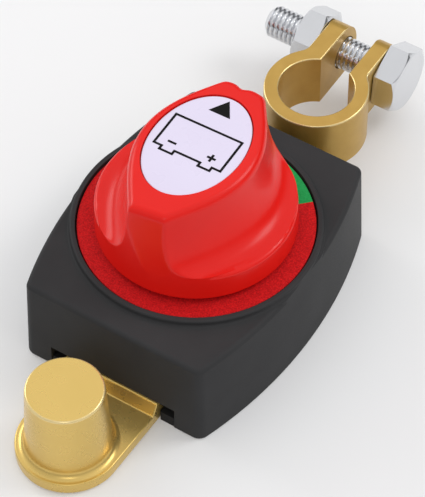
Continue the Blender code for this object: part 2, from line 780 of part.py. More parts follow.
def blank_radius(z):
    rise = (z - KNOB_BOTTOM) / (KNOB_TOP - KNOB_BOTTOM)
    radius = KNOB_BOTTOM_RADIUS + (KNOB_TOP_RADIUS - KNOB_BOTTOM_RADIUS) * rise
    rounding = max(0.0, 1.0 - (KNOB_TOP - z) / TOP_EDGE)
    return radius - TOP_EDGE * (1.0 - math.sqrt(max(0.0, 1.0 - rounding**2)))


def knob_radius(angle, z):
    """The knob's section at height z: the round blank, cut back on both sides by the scoops."""
    low = 0.0
    high = blank_radius(z)
    if z <= SCOOP_BOTTOM:
        return high
    if high * abs(math.cos(angle)) <= grip_half_width(high * math.sin(angle), z):
        return high
    for _ in range(30):
        middle = (low + high) / 2
        if middle * abs(math.cos(angle)) <= grip_half_width(middle * math.sin(angle), z):
            low = middle
        else:
            high = middle
    return low


def knob_body(name, levels, columns, inset, lift, material=None):
    """A stack of knob sections, each taken from a height plus lift and set in by inset."""
    bm = bmesh.new()
    rings = []
    for z in levels:
        ring = []
        for k in range(columns):
            angle = 2 * math.pi * k / columns
            radius = knob_radius(angle - GRIP_TURN, z + lift) - inset
            ring.append(bm.verts.new((radius * math.cos(angle), radius * math.sin(angle), z)))
        rings.append(ring)
    for lower, upper in zip(rings, rings[1:]):
        for k in range(columns):
            after = (k + 1) % columns
            bm.faces.new((lower[k], lower[after], upper[after], upper[k]))
    bm.faces.new(rings[0][::-1])
    bm.faces.new(rings[-1])
    return add_object(name, mesh_from(name, bm), material)


def scoop_levels(count):
    """Heights up the scoop, close together where its floor is nearly flat."""
    depth = SCOOP_TOP - SCOOP_BOTTOM
    return [SCOOP_TOP - depth * math.cos(i * math.pi / 2 / count) for i in range(count + 1)]


def label_outline(margin, count=48):
    """The label's ellipse, grown by a margin and turned with the grip."""
    outline = []
    for k in range(count):
        turn = 2 * math.pi * k / count
        x = (LABEL_HALF_X + margin) * math.cos(turn)
        y = (LABEL_HALF_Y + margin) * math.sin(turn)
        outline.append((
            LABEL_CENTRE_X + x * math.cos(GRIP_TURN) - y * math.sin(GRIP_TURN),
            LABEL_CENTRE_Y + x * math.sin(GRIP_TURN) + y * math.cos(GRIP_TURN),
        ))
    return outline


def make_knob():
    levels = [KNOB_BOTTOM, SCOOP_BOTTOM - SCOOP_LIP, *scoop_levels(7)]
    levels += [KNOB_TOP - TOP_EDGE, KNOB_TOP - TOP_EDGE * TOP_EDGE_MIDDLE, KNOB_TOP]
    knob = knob_body("knob", levels, KNOB_COLUMNS, 0.0, 0.0, "red_plastic")
    lift = KNOB_WALL
    hollow_levels = [KNOB_BOTTOM - WALL]
    hollow_levels += [level - lift for level in scoop_levels(5)]
    hollow_levels.append(KNOB_TOP - KNOB_ROOF)
    socket_half = SPINDLE_SQUARE / 2 + GAP
    label_seat = LABEL_TOP - LABEL_THICKNESS - GAP
    cut(knob, knob_body("knob_hollow_cutter", hollow_levels, CAVITY_COLUMNS, KNOB_WALL, lift))
    join(knob, cylinder("socket_filler", SOCKET_RADIUS, KNOB_BOTTOM + GAP, KNOB_TOP - KNOB_ROOF + GAP))
    cut(
        knob,
        box(
            "socket_cutter",
            (-socket_half, -socket_half, KNOB_BOTTOM - WALL),
            (socket_half, socket_half, SOCKET_TOP),
        ),
        cylinder("screw_hole_cutter_knob", KNOB_SCREW_SHANK + GAP, SOCKET_TOP - WALL, KNOB_TOP + WALL),
        cylinder("screw_well_cutter_knob", SCREW_WELL_RADIUS, SCREW_SEAT, KNOB_TOP + WALL),
        prism("label_seat_cutter", label_outline(GAP), label_seat, KNOB_TOP + WALL),
    )


def make_label():
    low = LABEL_TOP - LABEL_THICKNESS
    prism("knob_label", label_outline(0.0), low, LABEL_TOP, "label")


def make_knob_screw():
    pan_screw(
        "knob_screw",
        KNOB_SCREW_SHANK,
        KNOB_SCREW_HEAD,
        KNOB_SCREW_HEAD_HEIGHT,
        KNOB_SCREW_TIP,
        SCREW_SEAT + GAP,
        (0.0, 0.0),
        up=True,
    )


def make_spindle():
    profile = [
        (0.0, SPINDLE_TOP - GAP),
        (SPINDLE_CORE_RADIUS, SPINDLE_TOP - GAP),
        (SPINDLE_CORE_RADIUS, SPINDLE_NECK_TOP),
        (SPINDLE_RADIUS, SPINDLE_NECK_TOP),
        (SPINDLE_RADIUS, SEAL_GROOVE_TOP),
        (SEAL_GROOVE_RADIUS, SEAL_GROOVE_TOP),
        (SEAL_GROOVE_RADIUS, SEAL_GROOVE_BOTTOM),
        (SPINDLE_RADIUS, SEAL_GROOVE_BOTTOM),
        (SPINDLE_RADIUS, FLANGE_TOP),
        (FLANGE_RADIUS, FLANGE_TOP),
        (FLANGE_RADIUS, FLANGE_BOTTOM),
        (SPINDLE_CORE_RADIUS, FLANGE_BOTTOM),
        (SPINDLE_CORE_RADIUS, SPINDLE_SHOULDER + GAP),
        (SPINDLE_PIN_RADIUS, SPINDLE_SHOULDER + GAP),
        (SPINDLE_PIN_RADIUS, SPINDLE_PIN_BOTTOM),
        (0.0, SPINDLE_PIN_BOTTOM),
    ]
    spindle = turned("spindle", profile, "spindle_plastic", steps=28)
    half = SPINDLE_SQUARE / 2
    lug = box(
        "stop_lug_filler",
        (FLANGE_RADIUS - WALL, -STOP_HALF_WIDTH, FLANGE_BOTTOM + GAP),
        (STOP_REACH - GAP, STOP_HALF_WIDTH, FLANGE_TOP - GAP),
    )
    lug.rotation_euler.z = STOP_ANGLE
    join(
        spindle,
        box("upper_square_filler", (-half, -half, SPINDLE_NECK_TOP - GAP), (half, half, SPINDLE_TOP)),
        box("lower_square_filler", (-half, -half, SPINDLE_SHOULDER), (half, half, FLANGE_BOTTOM + GAP)),
        lug,
    )
    hole_radius = KNOB_SCREW_SHANK + GAP
    hole_bottom = KNOB_SCREW_TIP - GAP
    hole_top = SPINDLE_TOP + WALL
    cut(spindle, cylinder("screw_hole_cutter_spindle", hole_radius, hole_bottom, hole_top, segments=20))


def make_seal():
    middle = (SEAL_GROOVE_BOTTOM + SEAL_GROOVE_TOP) / 2
    section = arc((SEAL_RADIUS, middle), SEAL_SECTION, math.pi, -math.pi, 8)[:-1]
    turned("shaft_seal", section, "rubber", steps=24, closed=True)


def make_bridge():
    half_square = SPINDLE_SQUARE / 2 + GAP
    centre_y = BRIDGE_HALF_LENGTH - BRIDGE_CORNER
    centre_x = BRIDGE_HALF_WIDTH - BRIDGE_CORNER
    outline = []
    for index, (x, y) in enumerate(
        ((centre_x, centre_y), (-centre_x, centre_y), (-centre_x, -centre_y), (centre_x, -centre_y))
    ):
        start = index * math.pi / 2
        outline += arc((x, y), BRIDGE_CORNER, start, start + math.pi / 2, 3)
    top = BRIDGE_BOTTOM + BRIDGE_THICKNESS
    bridge = prism("contact_bridge", outline, BRIDGE_BOTTOM, top, "copper")
    cut(
        bridge,
        box(
            "bridge_square_cutter",
            (-half_square, -half_square, BRIDGE_BOTTOM - WALL),
            (half_square, half_square, top + WALL),
        ),
    )
    washer_low = top + GAP
    washer_high = washer_low + WASHER_THICKNESS
    section = [
        (WASHER_BORE, washer_low),
        (WASHER_BORE, washer_high),
        (WASHER_RADIUS, washer_high),
        (WASHER_RADIUS, washer_low),
    ]
    turned("bridge_washer", section, "spindle_plastic", steps=24, closed=True)
    return washer_high


def make_spring(washer_top):
    low = washer_top + GAP + SPRING_WIRE
    high = FLANGE_BOTTOM - GAP - SPRING_WIRE
    count = round(SPRING_TURNS * SPRING_POINTS_PER_TURN)
    curve = bpy.data.curves.new("contact_spring", "CURVE")
    curve.dimensions = "3D"
    curve.bevel_depth = SPRING_WIRE
    curve.bevel_resolution = 2
    curve.use_fill_caps = True
    spline = curve.splines.new("POLY")
    spline.points.add(count)
    for i, point in enumerate(spline.points):
        angle = 2 * math.pi * i / SPRING_POINTS_PER_TURN
        height = low + (high - low) * i / count
        point.co = (SPRING_RADIUS * math.cos(angle), SPRING_RADIUS * math.sin(angle), height, 1.0)
    add_object("contact_spring", curve, "steel")


make_housing()
make_base_plate()
make_dial()
make_base_screws()
make_post_terminal()
make_clamp_terminal()
make_terminal_screws()
make_contacts()
make_bolt()
make_nut()
make_knob()
make_label()
make_knob_screw()
make_spindle()
make_seal()
make_spring(make_bridge())
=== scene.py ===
"""Looks of the battery switch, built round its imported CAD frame. Metres, +Z up, knob axis at the origin."""

import math

import bmesh
import bpy
import numpy as np
from mathutils import Matrix, Vector
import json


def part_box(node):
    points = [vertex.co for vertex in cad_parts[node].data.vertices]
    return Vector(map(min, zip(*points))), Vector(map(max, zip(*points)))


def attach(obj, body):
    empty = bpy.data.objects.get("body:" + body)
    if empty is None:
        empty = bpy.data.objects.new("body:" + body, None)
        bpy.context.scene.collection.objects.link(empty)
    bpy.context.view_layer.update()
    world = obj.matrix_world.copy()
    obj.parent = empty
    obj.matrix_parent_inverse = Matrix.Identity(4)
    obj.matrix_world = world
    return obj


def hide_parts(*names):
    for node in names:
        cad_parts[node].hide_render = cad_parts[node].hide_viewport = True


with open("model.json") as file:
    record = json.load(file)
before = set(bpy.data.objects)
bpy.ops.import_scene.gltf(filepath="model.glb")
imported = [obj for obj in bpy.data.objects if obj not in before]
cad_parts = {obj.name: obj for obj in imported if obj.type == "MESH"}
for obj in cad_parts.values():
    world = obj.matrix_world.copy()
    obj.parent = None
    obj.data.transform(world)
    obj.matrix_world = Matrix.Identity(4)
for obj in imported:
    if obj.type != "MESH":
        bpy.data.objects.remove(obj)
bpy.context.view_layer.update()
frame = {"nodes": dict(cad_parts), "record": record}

MM = 0.001

MOUNTS = {mount["name"]: Vector(mount["pos_m"]) for mount in frame["record"]["mounts"]}
HOUSING_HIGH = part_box("housing")[1]
DIAL_LOW, DIAL_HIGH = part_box("dial_plate")
KNOB_LOW, KNOB_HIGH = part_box("knob")
LABEL_LOW, LABEL_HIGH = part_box("knob_label")
POST_LOW, POST_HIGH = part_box("post_terminal")
CLAMP_LOW, CLAMP_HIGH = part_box("clamp_terminal")
BOLT_LOW, BOLT_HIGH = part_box("clamp_bolt")
NUT_LOW, NUT_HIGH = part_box("clamp_nut")

# Housing.
HALF_LENGTH = HOUSING_HIGH.y
HALF_WIDTH = HOUSING_HIGH.x
BULGE = 6.03 * MM
SIDE_RADIUS = (HALF_LENGTH**2 + BULGE**2) / (2 * BULGE)
SIDE_CENTRE = HALF_WIDTH - SIDE_RADIUS
HEIGHT = 23.75 * MM
CORNER = 1.7 * MM
TOP_ROUND = 1.2 * MM
BOTTOM_ROUND = 0.5 * MM
DRAFT = 0.87 * MM
WALL = 2.5 * MM
CEILING = 20.3 * MM
COLLAR_TOP = HOUSING_HIGH.z
COLLAR_OUTER = 28.4 * MM
COLLAR_INNER = 27.05 * MM
COLLAR_ROUND = 0.6 * MM
COLLAR_FLARE = 0.7 * MM
DIAL_SEAT = 22.95 * MM
SPINDLE_BORE = 6.5 * MM
NOTCH_HALF_WIDTH = 16.4 * MM
NOTCH_HEIGHT = 6.2 * MM
BOSS_RADIUS = 3.6 * MM
PILOT_RADIUS = 1.8 * MM
PILOT_TOP = 14.0 * MM
BOSS_BOTTOM = 3.3 * MM
RIB_RADII = (13.3 * MM, 17.0 * MM)
RIB_HALF_WIDTH = 1.6 * MM
RIB_BOTTOM = 17.0 * MM
RIB_ANGLE = math.radians(66.5)

# Dial.
DIAL_RADIUS = DIAL_HIGH.x
DIAL_BORE = 8.0 * MM
DIAL_EDGE = 0.25 * MM
GREEN_FROM = math.radians(45.0)
GREEN_TO = math.radians(135.0)

# Knob.
KNOB_BOTTOM = KNOB_LOW.z
KNOB_TOP = KNOB_HIGH.z
KNOB_BOTTOM_RADIUS = KNOB_HIGH.x
KNOB_TOP_RADIUS = 21.9 * MM
GRIP_TURN = math.radians(1.6)
GRIP_CENTRE_Y = 1.0 * MM
GRIP_HALF_LENGTH = 22.5 * MM
GRIP_HALF_WIDTH = 13.6 * MM
GRIP_TIP = 3.9 * MM
GRIP_FULLNESS = 1.25
SCOOP_TOP = 47.0 * MM
SCOOP_BOTTOM = 33.0 * MM
SCOOP_REACH = 7.4 * MM
SCOOP_POWER = 2.8
WALL_DRAFT = 0.06
TOP_EDGE = 1.8 * MM
CREASE = 0.9 * MM
LIP_ROUND = 0.9 * MM
FOOT_ROUND = 0.5 * MM
END_FLAT_DIRECTION = math.radians(-82.2)
END_FLAT_TOP = 20.45 * MM
END_FLAT_DRAFT = 0.115
END_FLAT_LEAST_FACING = 0.3
POINTER_DENT = 0.9 * MM
POINTER_DENT_X = -0.5 * MM
POINTER_DENT_WIDTH = 1.5 * MM
KNOB_WALL = 2.2 * MM
KNOB_ROOF = 3.0 * MM
SOCKET_RADIUS = 8.6 * MM
SOCKET_TOP = 41.5 * MM
SOCKET_HALF = 4.5 * MM
SCREW_SEAT = 44.5 * MM
SCREW_WELL = 5.0 * MM
SCREW_HOLE = 2.3 * MM
LABEL_GAP = 0.25 * MM
LABEL_EDGE = 0.12 * MM
PRINT_HEIGHT = 0.05 * MM

# Terminals.
POST_Y = MOUNTS["post_top"].y
POST_TOP = MOUNTS["post_top"].z
POST_TOP_RADIUS = 8.75 * MM
POST_TAPER = 1.0 / 18.0
POST_EDGE = 0.55 * MM
POST_FILLET = 1.8 * MM
TONGUE_TOP = 3.35 * MM
TONGUE_RADIUS = POST_Y - POST_LOW.y
STEP_TOP_Y = -35.5 * MM
STEP_FOOT_Y = -37.1 * MM
BAR_HALF_WIDTH = POST_HIGH.x
BAR_TOP = 6.0 * MM
BAR_BOTTOM = 3.3 * MM
BAR_INNER_END = 9.6 * MM
STEP_BOTTOM = POST_LOW.z
BRASS_EDGE = 0.35 * MM
SCREW_Y = 27.2 * MM
SCREW_X = 6.5 * MM
SCREW_CLEARANCE = 1.9 * MM

RING_Y = MOUNTS["clamp_top"].y
RING_TOP = MOUNTS["clamp_top"].z
RING_BOTTOM = MOUNTS["clamp_underside"].z
RING_BORE = 8.94 * MM
RING_OUTER = 12.4 * MM
SLOT_LEFT = -3.6 * MM
SLOT_RIGHT = 4.2 * MM
EAR_OUTER = 8.2 * MM
EAR_FILLET_LEFT = 3.5 * MM
EAR_FILLET_RIGHT = 2.5 * MM
EAR_ROUND_START = 70.2 * MM
EAR_ROUND_DEPTH = CLAMP_HIGH.y - EAR_ROUND_START
NECK_TOP = 11.0 * MM
NECK_HALF_WIDTH = 9.2 * MM
NECK_END = 43.6 * MM
NECK_ROUND = 3.0 * MM
NECK_FLAT = 2.4 * MM
CAST_EDGE = 0.4 * MM

# Printed battery sign and arrow, measured from the label's centre along the grip.
PRINT_LINE = 0.56 * MM
SIGN_LEFT, SIGN_RIGHT = -8.5 * MM, 8.2 * MM
SIGN_BOTTOM, SIGN_TOP = -3.95 * MM, 5.4 * MM
SIGN_TAB_DEPTH = 1.05 * MM
SIGN_TABS = ((3.2 * MM, 6.1 * MM), (-6.5 * MM, -3.3 * MM))
MARK_HALF = 1.05 * MM
MINUS_AT = (-5.0 * MM, -2.1 * MM)
PLUS_AT = (4.65 * MM, -1.7 * MM)
ARROW = ((-3.05 * MM, 10.0 * MM), (2.35 * MM, 10.0 * MM), (-0.3 * MM, 14.4 * MM))

# Bolt and nut, M8.
BOLT_Y = (NUT_LOW.y + NUT_HIGH.y) / 2
BOLT_Z = (NUT_LOW.z + NUT_HIGH.z) / 2
BOLT_RADIUS = 4.0 * MM
BOLT_HOLE = 4.3 * MM
THREAD_PITCH = 1.25 * MM
THREAD_DEPTH = 0.68 * MM
BOLT_TIP = BOLT_LOW.x
HEAD_OUTER = BOLT_HIGH.x
HEAD_INNER = 8.5 * MM
NUT_OUTER = NUT_LOW.x
NUT_INNER = NUT_HIGH.x
NUT_BORE = 4.06 * MM
HEX_ACROSS_FLATS = 15.0 * MM
HEX_FACE_RADIUS = 7.4 * MM
HEX_CHAMFER = 0.85 * MM
HEX_TURN = math.radians(-5.0)


# ---- Mesh helpers ----


def link(name, mesh):
    obj = bpy.data.objects.new(name, mesh)
    bpy.context.scene.collection.objects.link(obj)
    return obj


def mesh_object(name, verts, faces):
    mesh = bpy.data.meshes.new(name)
    mesh.from_pydata([tuple(v) for v in verts], [], faces)
    bm = bmesh.new()
    bm.from_mesh(mesh)
    bmesh.ops.remove_doubles(bm, verts=bm.verts, dist=0.0005 * MM)
    bmesh.ops.recalc_face_normals(bm, faces=bm.faces)
    bm.to_mesh(mesh)
    bm.free()
    return link(name, mesh)


def loft(name, rings, joined=False):
    """Closed rings of equal length joined into one skin; joined also connects the last ring to the first."""
    count = len(rings[0])
    verts = np.concatenate(rings)
    faces = []
    pairs = list(zip(range(len(rings) - 1), range(1, len(rings))))
    if joined:
        pairs.append((len(rings) - 1, 0))
    for lower, upper in pairs:
        for k in range(count):
            after = (k + 1) % count
            low, high = lower * count, upper * count
            faces.append((low + k, low + after, high + after, high + k))
    if not joined:
        faces.append(tuple(range(count))[::-1])
        faces.append(tuple(range((len(rings) - 1) * count, len(rings) * count)))
    return mesh_object(name, verts, faces)


def turned(name, profile, steps=96, centre=(0.0, 0.0), closed=False):
    """A profile of (radius, height) points turned about a vertical axis."""
    angles = np.linspace(0.0, 2 * math.pi, steps, endpoint=False)
    rings = [
        np.column_stack(
            (
                centre[0] + radius * np.cos(angles),
                centre[1] + radius * np.sin(angles),
                np.full(steps, height),
            )
        )
        for radius, height in profile
    ]
    return loft(name, rings, joined=closed)


def prism(name, outline, low, high):
    rings = [np.array([(x, y, z) for x, y in outline]) for z in (low, high)]
    return loft(name, rings)


def inset_outline(outline, distance):
    """A closed outline with every side moved inwards by a small distance."""
    points = np.array(outline)
    sides = np.roll(points, -1, axis=0) - points
    sides /= np.linalg.norm(sides, axis=1)[:, None]
    area = np.sum(points[:, 0] * np.roll(points[:, 1], -1) - points[:, 1] * np.roll(points[:, 0], -1))
    inwards = np.column_stack((-sides[:, 1], sides[:, 0])) * np.sign(area)
    before = np.roll(inwards, 1, axis=0)
    reach = 1.0 + np.sum(before * inwards, axis=1)
    return points + (before + inwards) * (distance / reach)[:, None]


def rounded_prism(name, outline, low, high, radius, count=4):
    """An upright prism whose top and bottom edges are rounded."""
    turns = np.linspace(0.0, math.pi / 2, count + 1)
    levels = [(radius * (1.0 - math.sin(t)), low + radius * (1.0 - math.cos(t))) for t in turns]
    levels += [(inset, high + low - z) for inset, z in levels[::-1]]
    rings = [
        np.column_stack((inset_outline(outline, inset), np.full(len(outline), z))) for inset, z in levels
    ]
    return loft(name, rings)


def box(name, low, high):
    outline = [(low[0], low[1]), (high[0], low[1]), (high[0], high[1]), (low[0], high[1])]
    return prism(name, outline, low[2], high[2])


def side_profile(name, profile, half_width):
    """A profile of (y, z) points given thickness along X."""
    rings = [np.array([(x, y, z) for y, z in profile]) for x in (-half_width, half_width)]
    return loft(name, rings)


def cylinder(name, radius, low, high, centre=(0.0, 0.0), steps=64):
    return turned(name, [(radius, low), (radius, high)], steps, centre)


def arc(centre, radius, start, end, count):
    angles = np.linspace(start, end, count + 1)
    return [(centre[0] + radius * math.cos(a), centre[1] + radius * math.sin(a)) for a in angles]


def bake(obj):
    """Applies the object's modifiers to its mesh."""
    graph = bpy.context.evaluated_depsgraph_get()
    mesh = bpy.data.meshes.new_from_object(obj.evaluated_get(graph))
    obj.modifiers.clear()
    obj.data = mesh


def combine(target, tool, operation):
    modifier = target.modifiers.new(tool.name, "BOOLEAN")
    modifier.operation = operation
    modifier.object = tool
    modifier.solver = "EXACT"
    bake(target)
    bpy.data.objects.remove(tool)


def cut(target, *tools):
    for tool in tools:
        combine(target, tool, "DIFFERENCE")


def join(target, *tools):
    for tool in tools:
        combine(target, tool, "UNION")


def clip(target, tool):
    combine(target, tool, "INTERSECT")


def round_edges(obj, width, segments=3, angle=35.0):
    bevel = obj.modifiers.new("edges", "BEVEL")
    bevel.width = width
    bevel.segments = segments
    bevel.limit_method = "ANGLE"
    bevel.angle_limit = math.radians(angle)
    bevel.use_clamp_overlap = True
    bevel.miter_outer = "MITER_ARC"
    bake(obj)


def smooth(obj, angle=32.0):
    obj.data.shade_smooth()
    obj.data.set_sharp_from_angle(angle=math.radians(angle))
    normals = obj.modifiers.new("normals", "WEIGHTED_NORMAL")
    normals.keep_sharp = True
    normals.weight = 60


def piece(obj, body, materials, slot, *replaced, angle=32.0):
    """Finishes a piece: its shading, finish, body and the CAD nodes it stands for."""
    smooth(obj, angle)
    if not obj.data.materials:
        for material in materials:
            obj.data.materials.append(material)
    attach(obj, body)
    if replaced:
        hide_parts(*replaced)
    return obj


# ---- Materials ----


def node_material(name):
    material = bpy.data.materials.new(name)
    material.use_nodes = True
    return material, material.node_tree.nodes, material.node_tree.links


def noise(nodes, links, vector, scale, detail=3.0):
    texture = nodes.new("ShaderNodeTexNoise")
    texture.inputs["Scale"].default_value = scale
    texture.inputs["Detail"].default_value = detail
    links.new(vector, texture.inputs["Vector"])
    return texture.outputs["Fac"]


def millimetres(nodes, links):
    """Object coordinates counted in millimetres, so that a noise scale is in grains per millimetre."""
    place = nodes.new("ShaderNodeTexCoord")
    mapping = nodes.new("ShaderNodeMapping")
    mapping.inputs["Scale"].default_value = (1 / MM, 1 / MM, 1 / MM)
    links.new(place.outputs["Object"], mapping.inputs["Vector"])
    return mapping.outputs["Vector"]


def ranged(nodes, links, value, low, high, start=0.3, end=0.7):
    spread = nodes.new("ShaderNodeMapRange")
    spread.inputs["From Min"].default_value = start
    spread.inputs["From Max"].default_value = end
    spread.inputs["To Min"].default_value = low
    spread.inputs["To Max"].default_value = high
    links.new(value, spread.inputs["Value"])
    return spread.outputs["Result"]


def mixed(nodes, links, factor, first, second):
    mix = nodes.new("ShaderNodeMix")
    mix.data_type = "RGBA"
    mix.inputs["A"].default_value = (*first, 1.0)
    mix.inputs["B"].default_value = (*second, 1.0)
    links.new(factor, mix.inputs["Factor"])
    return mix.outputs["Result"]


def surface(
    name,
    colors,
    roughness,
    grain,
    bump,
    metallic=0.0,
    mottle=0.08,
    specular=0.5,
):
    """A finish with two shades that drift into each other, varied roughness and a fine grain.

    roughness is (low, high); grain is grains per millimetre and bump the grain's depth in metres.
    """
    material, nodes, links = node_material(name)
    shader = nodes["Principled BSDF"]
    shader.inputs["Metallic"].default_value = metallic
    shader.inputs["Specular IOR Level"].default_value = specular
    place = millimetres(nodes, links)
    drift = noise(nodes, links, place, mottle, 4.0)
    fine = noise(nodes, links, place, grain, 2.0)
    color = mixed(nodes, links, ranged(nodes, links, drift, 0.0, 1.0), *colors)
    links.new(color, shader.inputs["Base Color"])
    links.new(ranged(nodes, links, fine, *roughness), shader.inputs["Roughness"])
    if bump == 0.0:
        return material
    relief = nodes.new("ShaderNodeBump")
    relief.inputs["Strength"].default_value = 1.0
    relief.inputs["Distance"].default_value = bump
    links.new(fine, relief.inputs["Height"])
    links.new(relief.outputs["Normal"], shader.inputs["Normal"])
    return material


HOUSING_BLACK = surface(
    "housing_black",
    ((0.040, 0.040, 0.041), (0.047, 0.047, 0.048)),
    (0.42, 0.50),
    3.0,
    0.003 * MM,
    specular=0.05,
)
BASE_BLACK = surface(
    "base_black",
    ((0.010, 0.010, 0.010), (0.016, 0.016, 0.017)),
    (0.6, 0.75),
    2.0,
    0.012 * MM,
    specular=0.2,
)
KNOB_RED = surface(
    "knob_red",
    ((0.80, 0.010, 0.006), (0.83, 0.014, 0.009)),
    (0.24, 0.27),
    0.2,
    0.0,
    mottle=0.05,
    specular=0.25,
)
DIAL_RED = surface(
    "dial_red",
    ((0.40, 0.004, 0.006), (0.76, 0.012, 0.014)),
    (0.6, 0.8),
    2.2,
    0.03 * MM,
    mottle=2.8,
    specular=0.15,
)
DIAL_GREEN = surface(
    "dial_green",
    ((0.012, 0.30, 0.065), (0.022, 0.40, 0.10)),
    (0.6, 0.8),
    2.2,
    0.03 * MM,
    mottle=2.8,
    specular=0.15,
)
LABEL_WHITE = surface(
    "label_white", ((0.76, 0.70, 0.87), (0.79, 0.73, 0.90)), (0.26, 0.30), 0.2, 0.0, mottle=0.05
)
LABEL_INK = surface(
    "label_ink", ((0.003, 0.003, 0.003), (0.005, 0.005, 0.005)), (0.5, 0.6), 2.0, 0.0, specular=0.15
)
POLISHED_BRASS = surface(
    "polished_brass",
    ((0.71, 0.50, 0.148), (0.74, 0.52, 0.16)),
    (0.26, 0.30),
    0.3,
    0.0,
    metallic=0.7,
)
CAST_BRASS = surface(
    "cast_brass",
    ((0.52, 0.315, 0.066), (0.57, 0.355, 0.080)),
    (0.30, 0.38),
    3.5,
    0.004 * MM,
    metallic=0.42,
    mottle=0.25,
)
# Paler brass painted on rounded top edges as a highlight.
RIM_HIGHLIGHT_BRASS = surface(
    "rim_highlight_brass",
    ((0.84, 0.65, 0.29), (0.88, 0.70, 0.34)),
    (0.22, 0.28),
    1.0,
    0.0,
    metallic=0.6,
)
BOLT_STEEL = surface(
    "bolt_steel", ((0.70, 0.71, 0.73), (0.74, 0.75, 0.77)), (0.18, 0.22), 0.5, 0.0, metallic=0.95
)
SCREW_STEEL = surface(
    "screw_steel", ((0.52, 0.52, 0.53), (0.60, 0.60, 0.61)), (0.28, 0.40), 2.0, 0.003 * MM, metallic=1.0
)
SPRING_STEEL = surface(
    "spring_steel", ((0.45, 0.45, 0.46), (0.52, 0.52, 0.54)), (0.25, 0.35), 3.0, 0.002 * MM, metallic=1.0
)
COPPER = surface(
    "copper", ((0.66, 0.28, 0.15), (0.74, 0.36, 0.22)), (0.25, 0.40), 1.5, 0.004 * MM, metallic=1.0
)
SILVER = surface(
    "silver_contact", ((0.74, 0.73, 0.70), (0.80, 0.79, 0.76)), (0.25, 0.38), 2.0, 0.004 * MM, metallic=1.0
)
SPINDLE_PLASTIC = surface(
    "spindle_plastic", ((0.70, 0.68, 0.62), (0.76, 0.74, 0.69)), (0.45, 0.55), 1.5, 0.004 * MM
)
SEAL_RUBBER = surface(
    "seal_rubber", ((0.010, 0.010, 0.010), (0.018, 0.018, 0.018)), (0.6, 0.75), 3.0, 0.01 * MM
)

CARRIED_OVER = {
    "base_plate": BASE_BLACK,
    "post_contact": SILVER,
    "clamp_contact": SILVER,
    "contact_bridge": COPPER,
    "bridge_washer": SPINDLE_PLASTIC,
    "contact_spring": SPRING_STEEL,
    "spindle": SPINDLE_PLASTIC,
    "shaft_seal": SEAL_RUBBER,
    "knob_screw": SCREW_STEEL,
    **{f"base_screw_{k}": SCREW_STEEL for k in range(1, 5)},
    **{f"terminal_screw_{k}": SCREW_STEEL for k in range(1, 5)},
}


def dress_carried_over():
    for name, material in CARRIED_OVER.items():
        data = frame["nodes"][name].data
        data.materials.clear()
        data.materials.append(material)


# ---- Housing ----


def barrel_distance(x, y, inset):
    """Distance of a point from the housing's plan outline, set in by inset, with rounded corners."""
    corner = max(CORNER - inset / 2, 0.5 * MM)
    end = np.abs(y) - (HALF_LENGTH - inset)
    side = np.hypot(np.abs(x) - SIDE_CENTRE, y) - (SIDE_RADIUS - inset)
    out_end = np.maximum(end + corner, 0.0)
    out_side = np.maximum(side + corner, 0.0)
    inside = np.minimum(np.maximum(end + corner, side + corner), 0.0)
    return np.hypot(out_end, out_side) + inside - corner


def barrel_angles():
    """Directions round the housing, close together at its corners."""
    corner = math.degrees(math.atan2(HALF_LENGTH, HALF_WIDTH - BULGE))
    quarter = np.concatenate(
        (
            np.linspace(0.0, corner - 9.0, 22, endpoint=False),
            np.linspace(corner - 9.0, corner + 9.0, 30, endpoint=False),
            np.linspace(corner + 9.0, 90.0, 10, endpoint=False),
        )
    )
    mirrored = 180.0 - np.append(quarter, 90.0)[:0:-1]
    half = np.concatenate((quarter, mirrored))
    return np.radians(np.concatenate((half, half + 180.0)))


def barrel_ring(inset, z):
    angles = barrel_angles()
    low = np.zeros_like(angles)
    high = np.full_like(angles, 2 * HALF_LENGTH)
    for _ in range(40):
        middle = (low + high) / 2
        inside = barrel_distance(middle * np.cos(angles), middle * np.sin(angles), inset) < 0.0
        low = np.where(inside, middle, low)
        high = np.where(inside, high, middle)
    return np.column_stack((low * np.cos(angles), low * np.sin(angles), np.full_like(low, z)))


def barrel_levels(top_round, bottom_round):
    """(inset, height) of the housing's outer skin from its bottom rim to its top face."""
    levels = []
    for a in np.linspace(0.0, math.pi / 2, 5):
        levels.append((bottom_round * (1.0 - math.sin(a)), bottom_round * (1.0 - math.cos(a))))
    levels.append((0.0, HEIGHT / 2))
    for a in np.linspace(0.0, math.pi / 2, 11):
        levels.append((top_round * (1.0 - math.cos(a)), HEIGHT - top_round * (1.0 - math.sin(a))))
    return [(inset + DRAFT * z / HEIGHT, z) for inset, z in levels]


def collar():
    """The collar round the dial, with a concave foot, trimmed to the housing's sides."""
    top_outer = COLLAR_OUTER - COLLAR_ROUND
    foot = arc(
        (COLLAR_OUTER + COLLAR_FLARE, HEIGHT + COLLAR_FLARE - 0.02 * MM),
        COLLAR_FLARE,
        math.pi,
        1.5 * math.pi,
        8,
    )
    crown = arc((top_outer, COLLAR_TOP - COLLAR_ROUND), COLLAR_ROUND, math.pi / 2, 0.0, 8)
    profile = [*crown, *foot, (foot[-1][0], CEILING + MM)]
    ring = turned("collar_tool", profile, 192)
    trim = loft(
        "collar_trim_tool",
        [barrel_ring(DRAFT * z / HEIGHT, z) for z in (CEILING, COLLAR_TOP + MM)],
    )
    clip(ring, trim)
    return ring


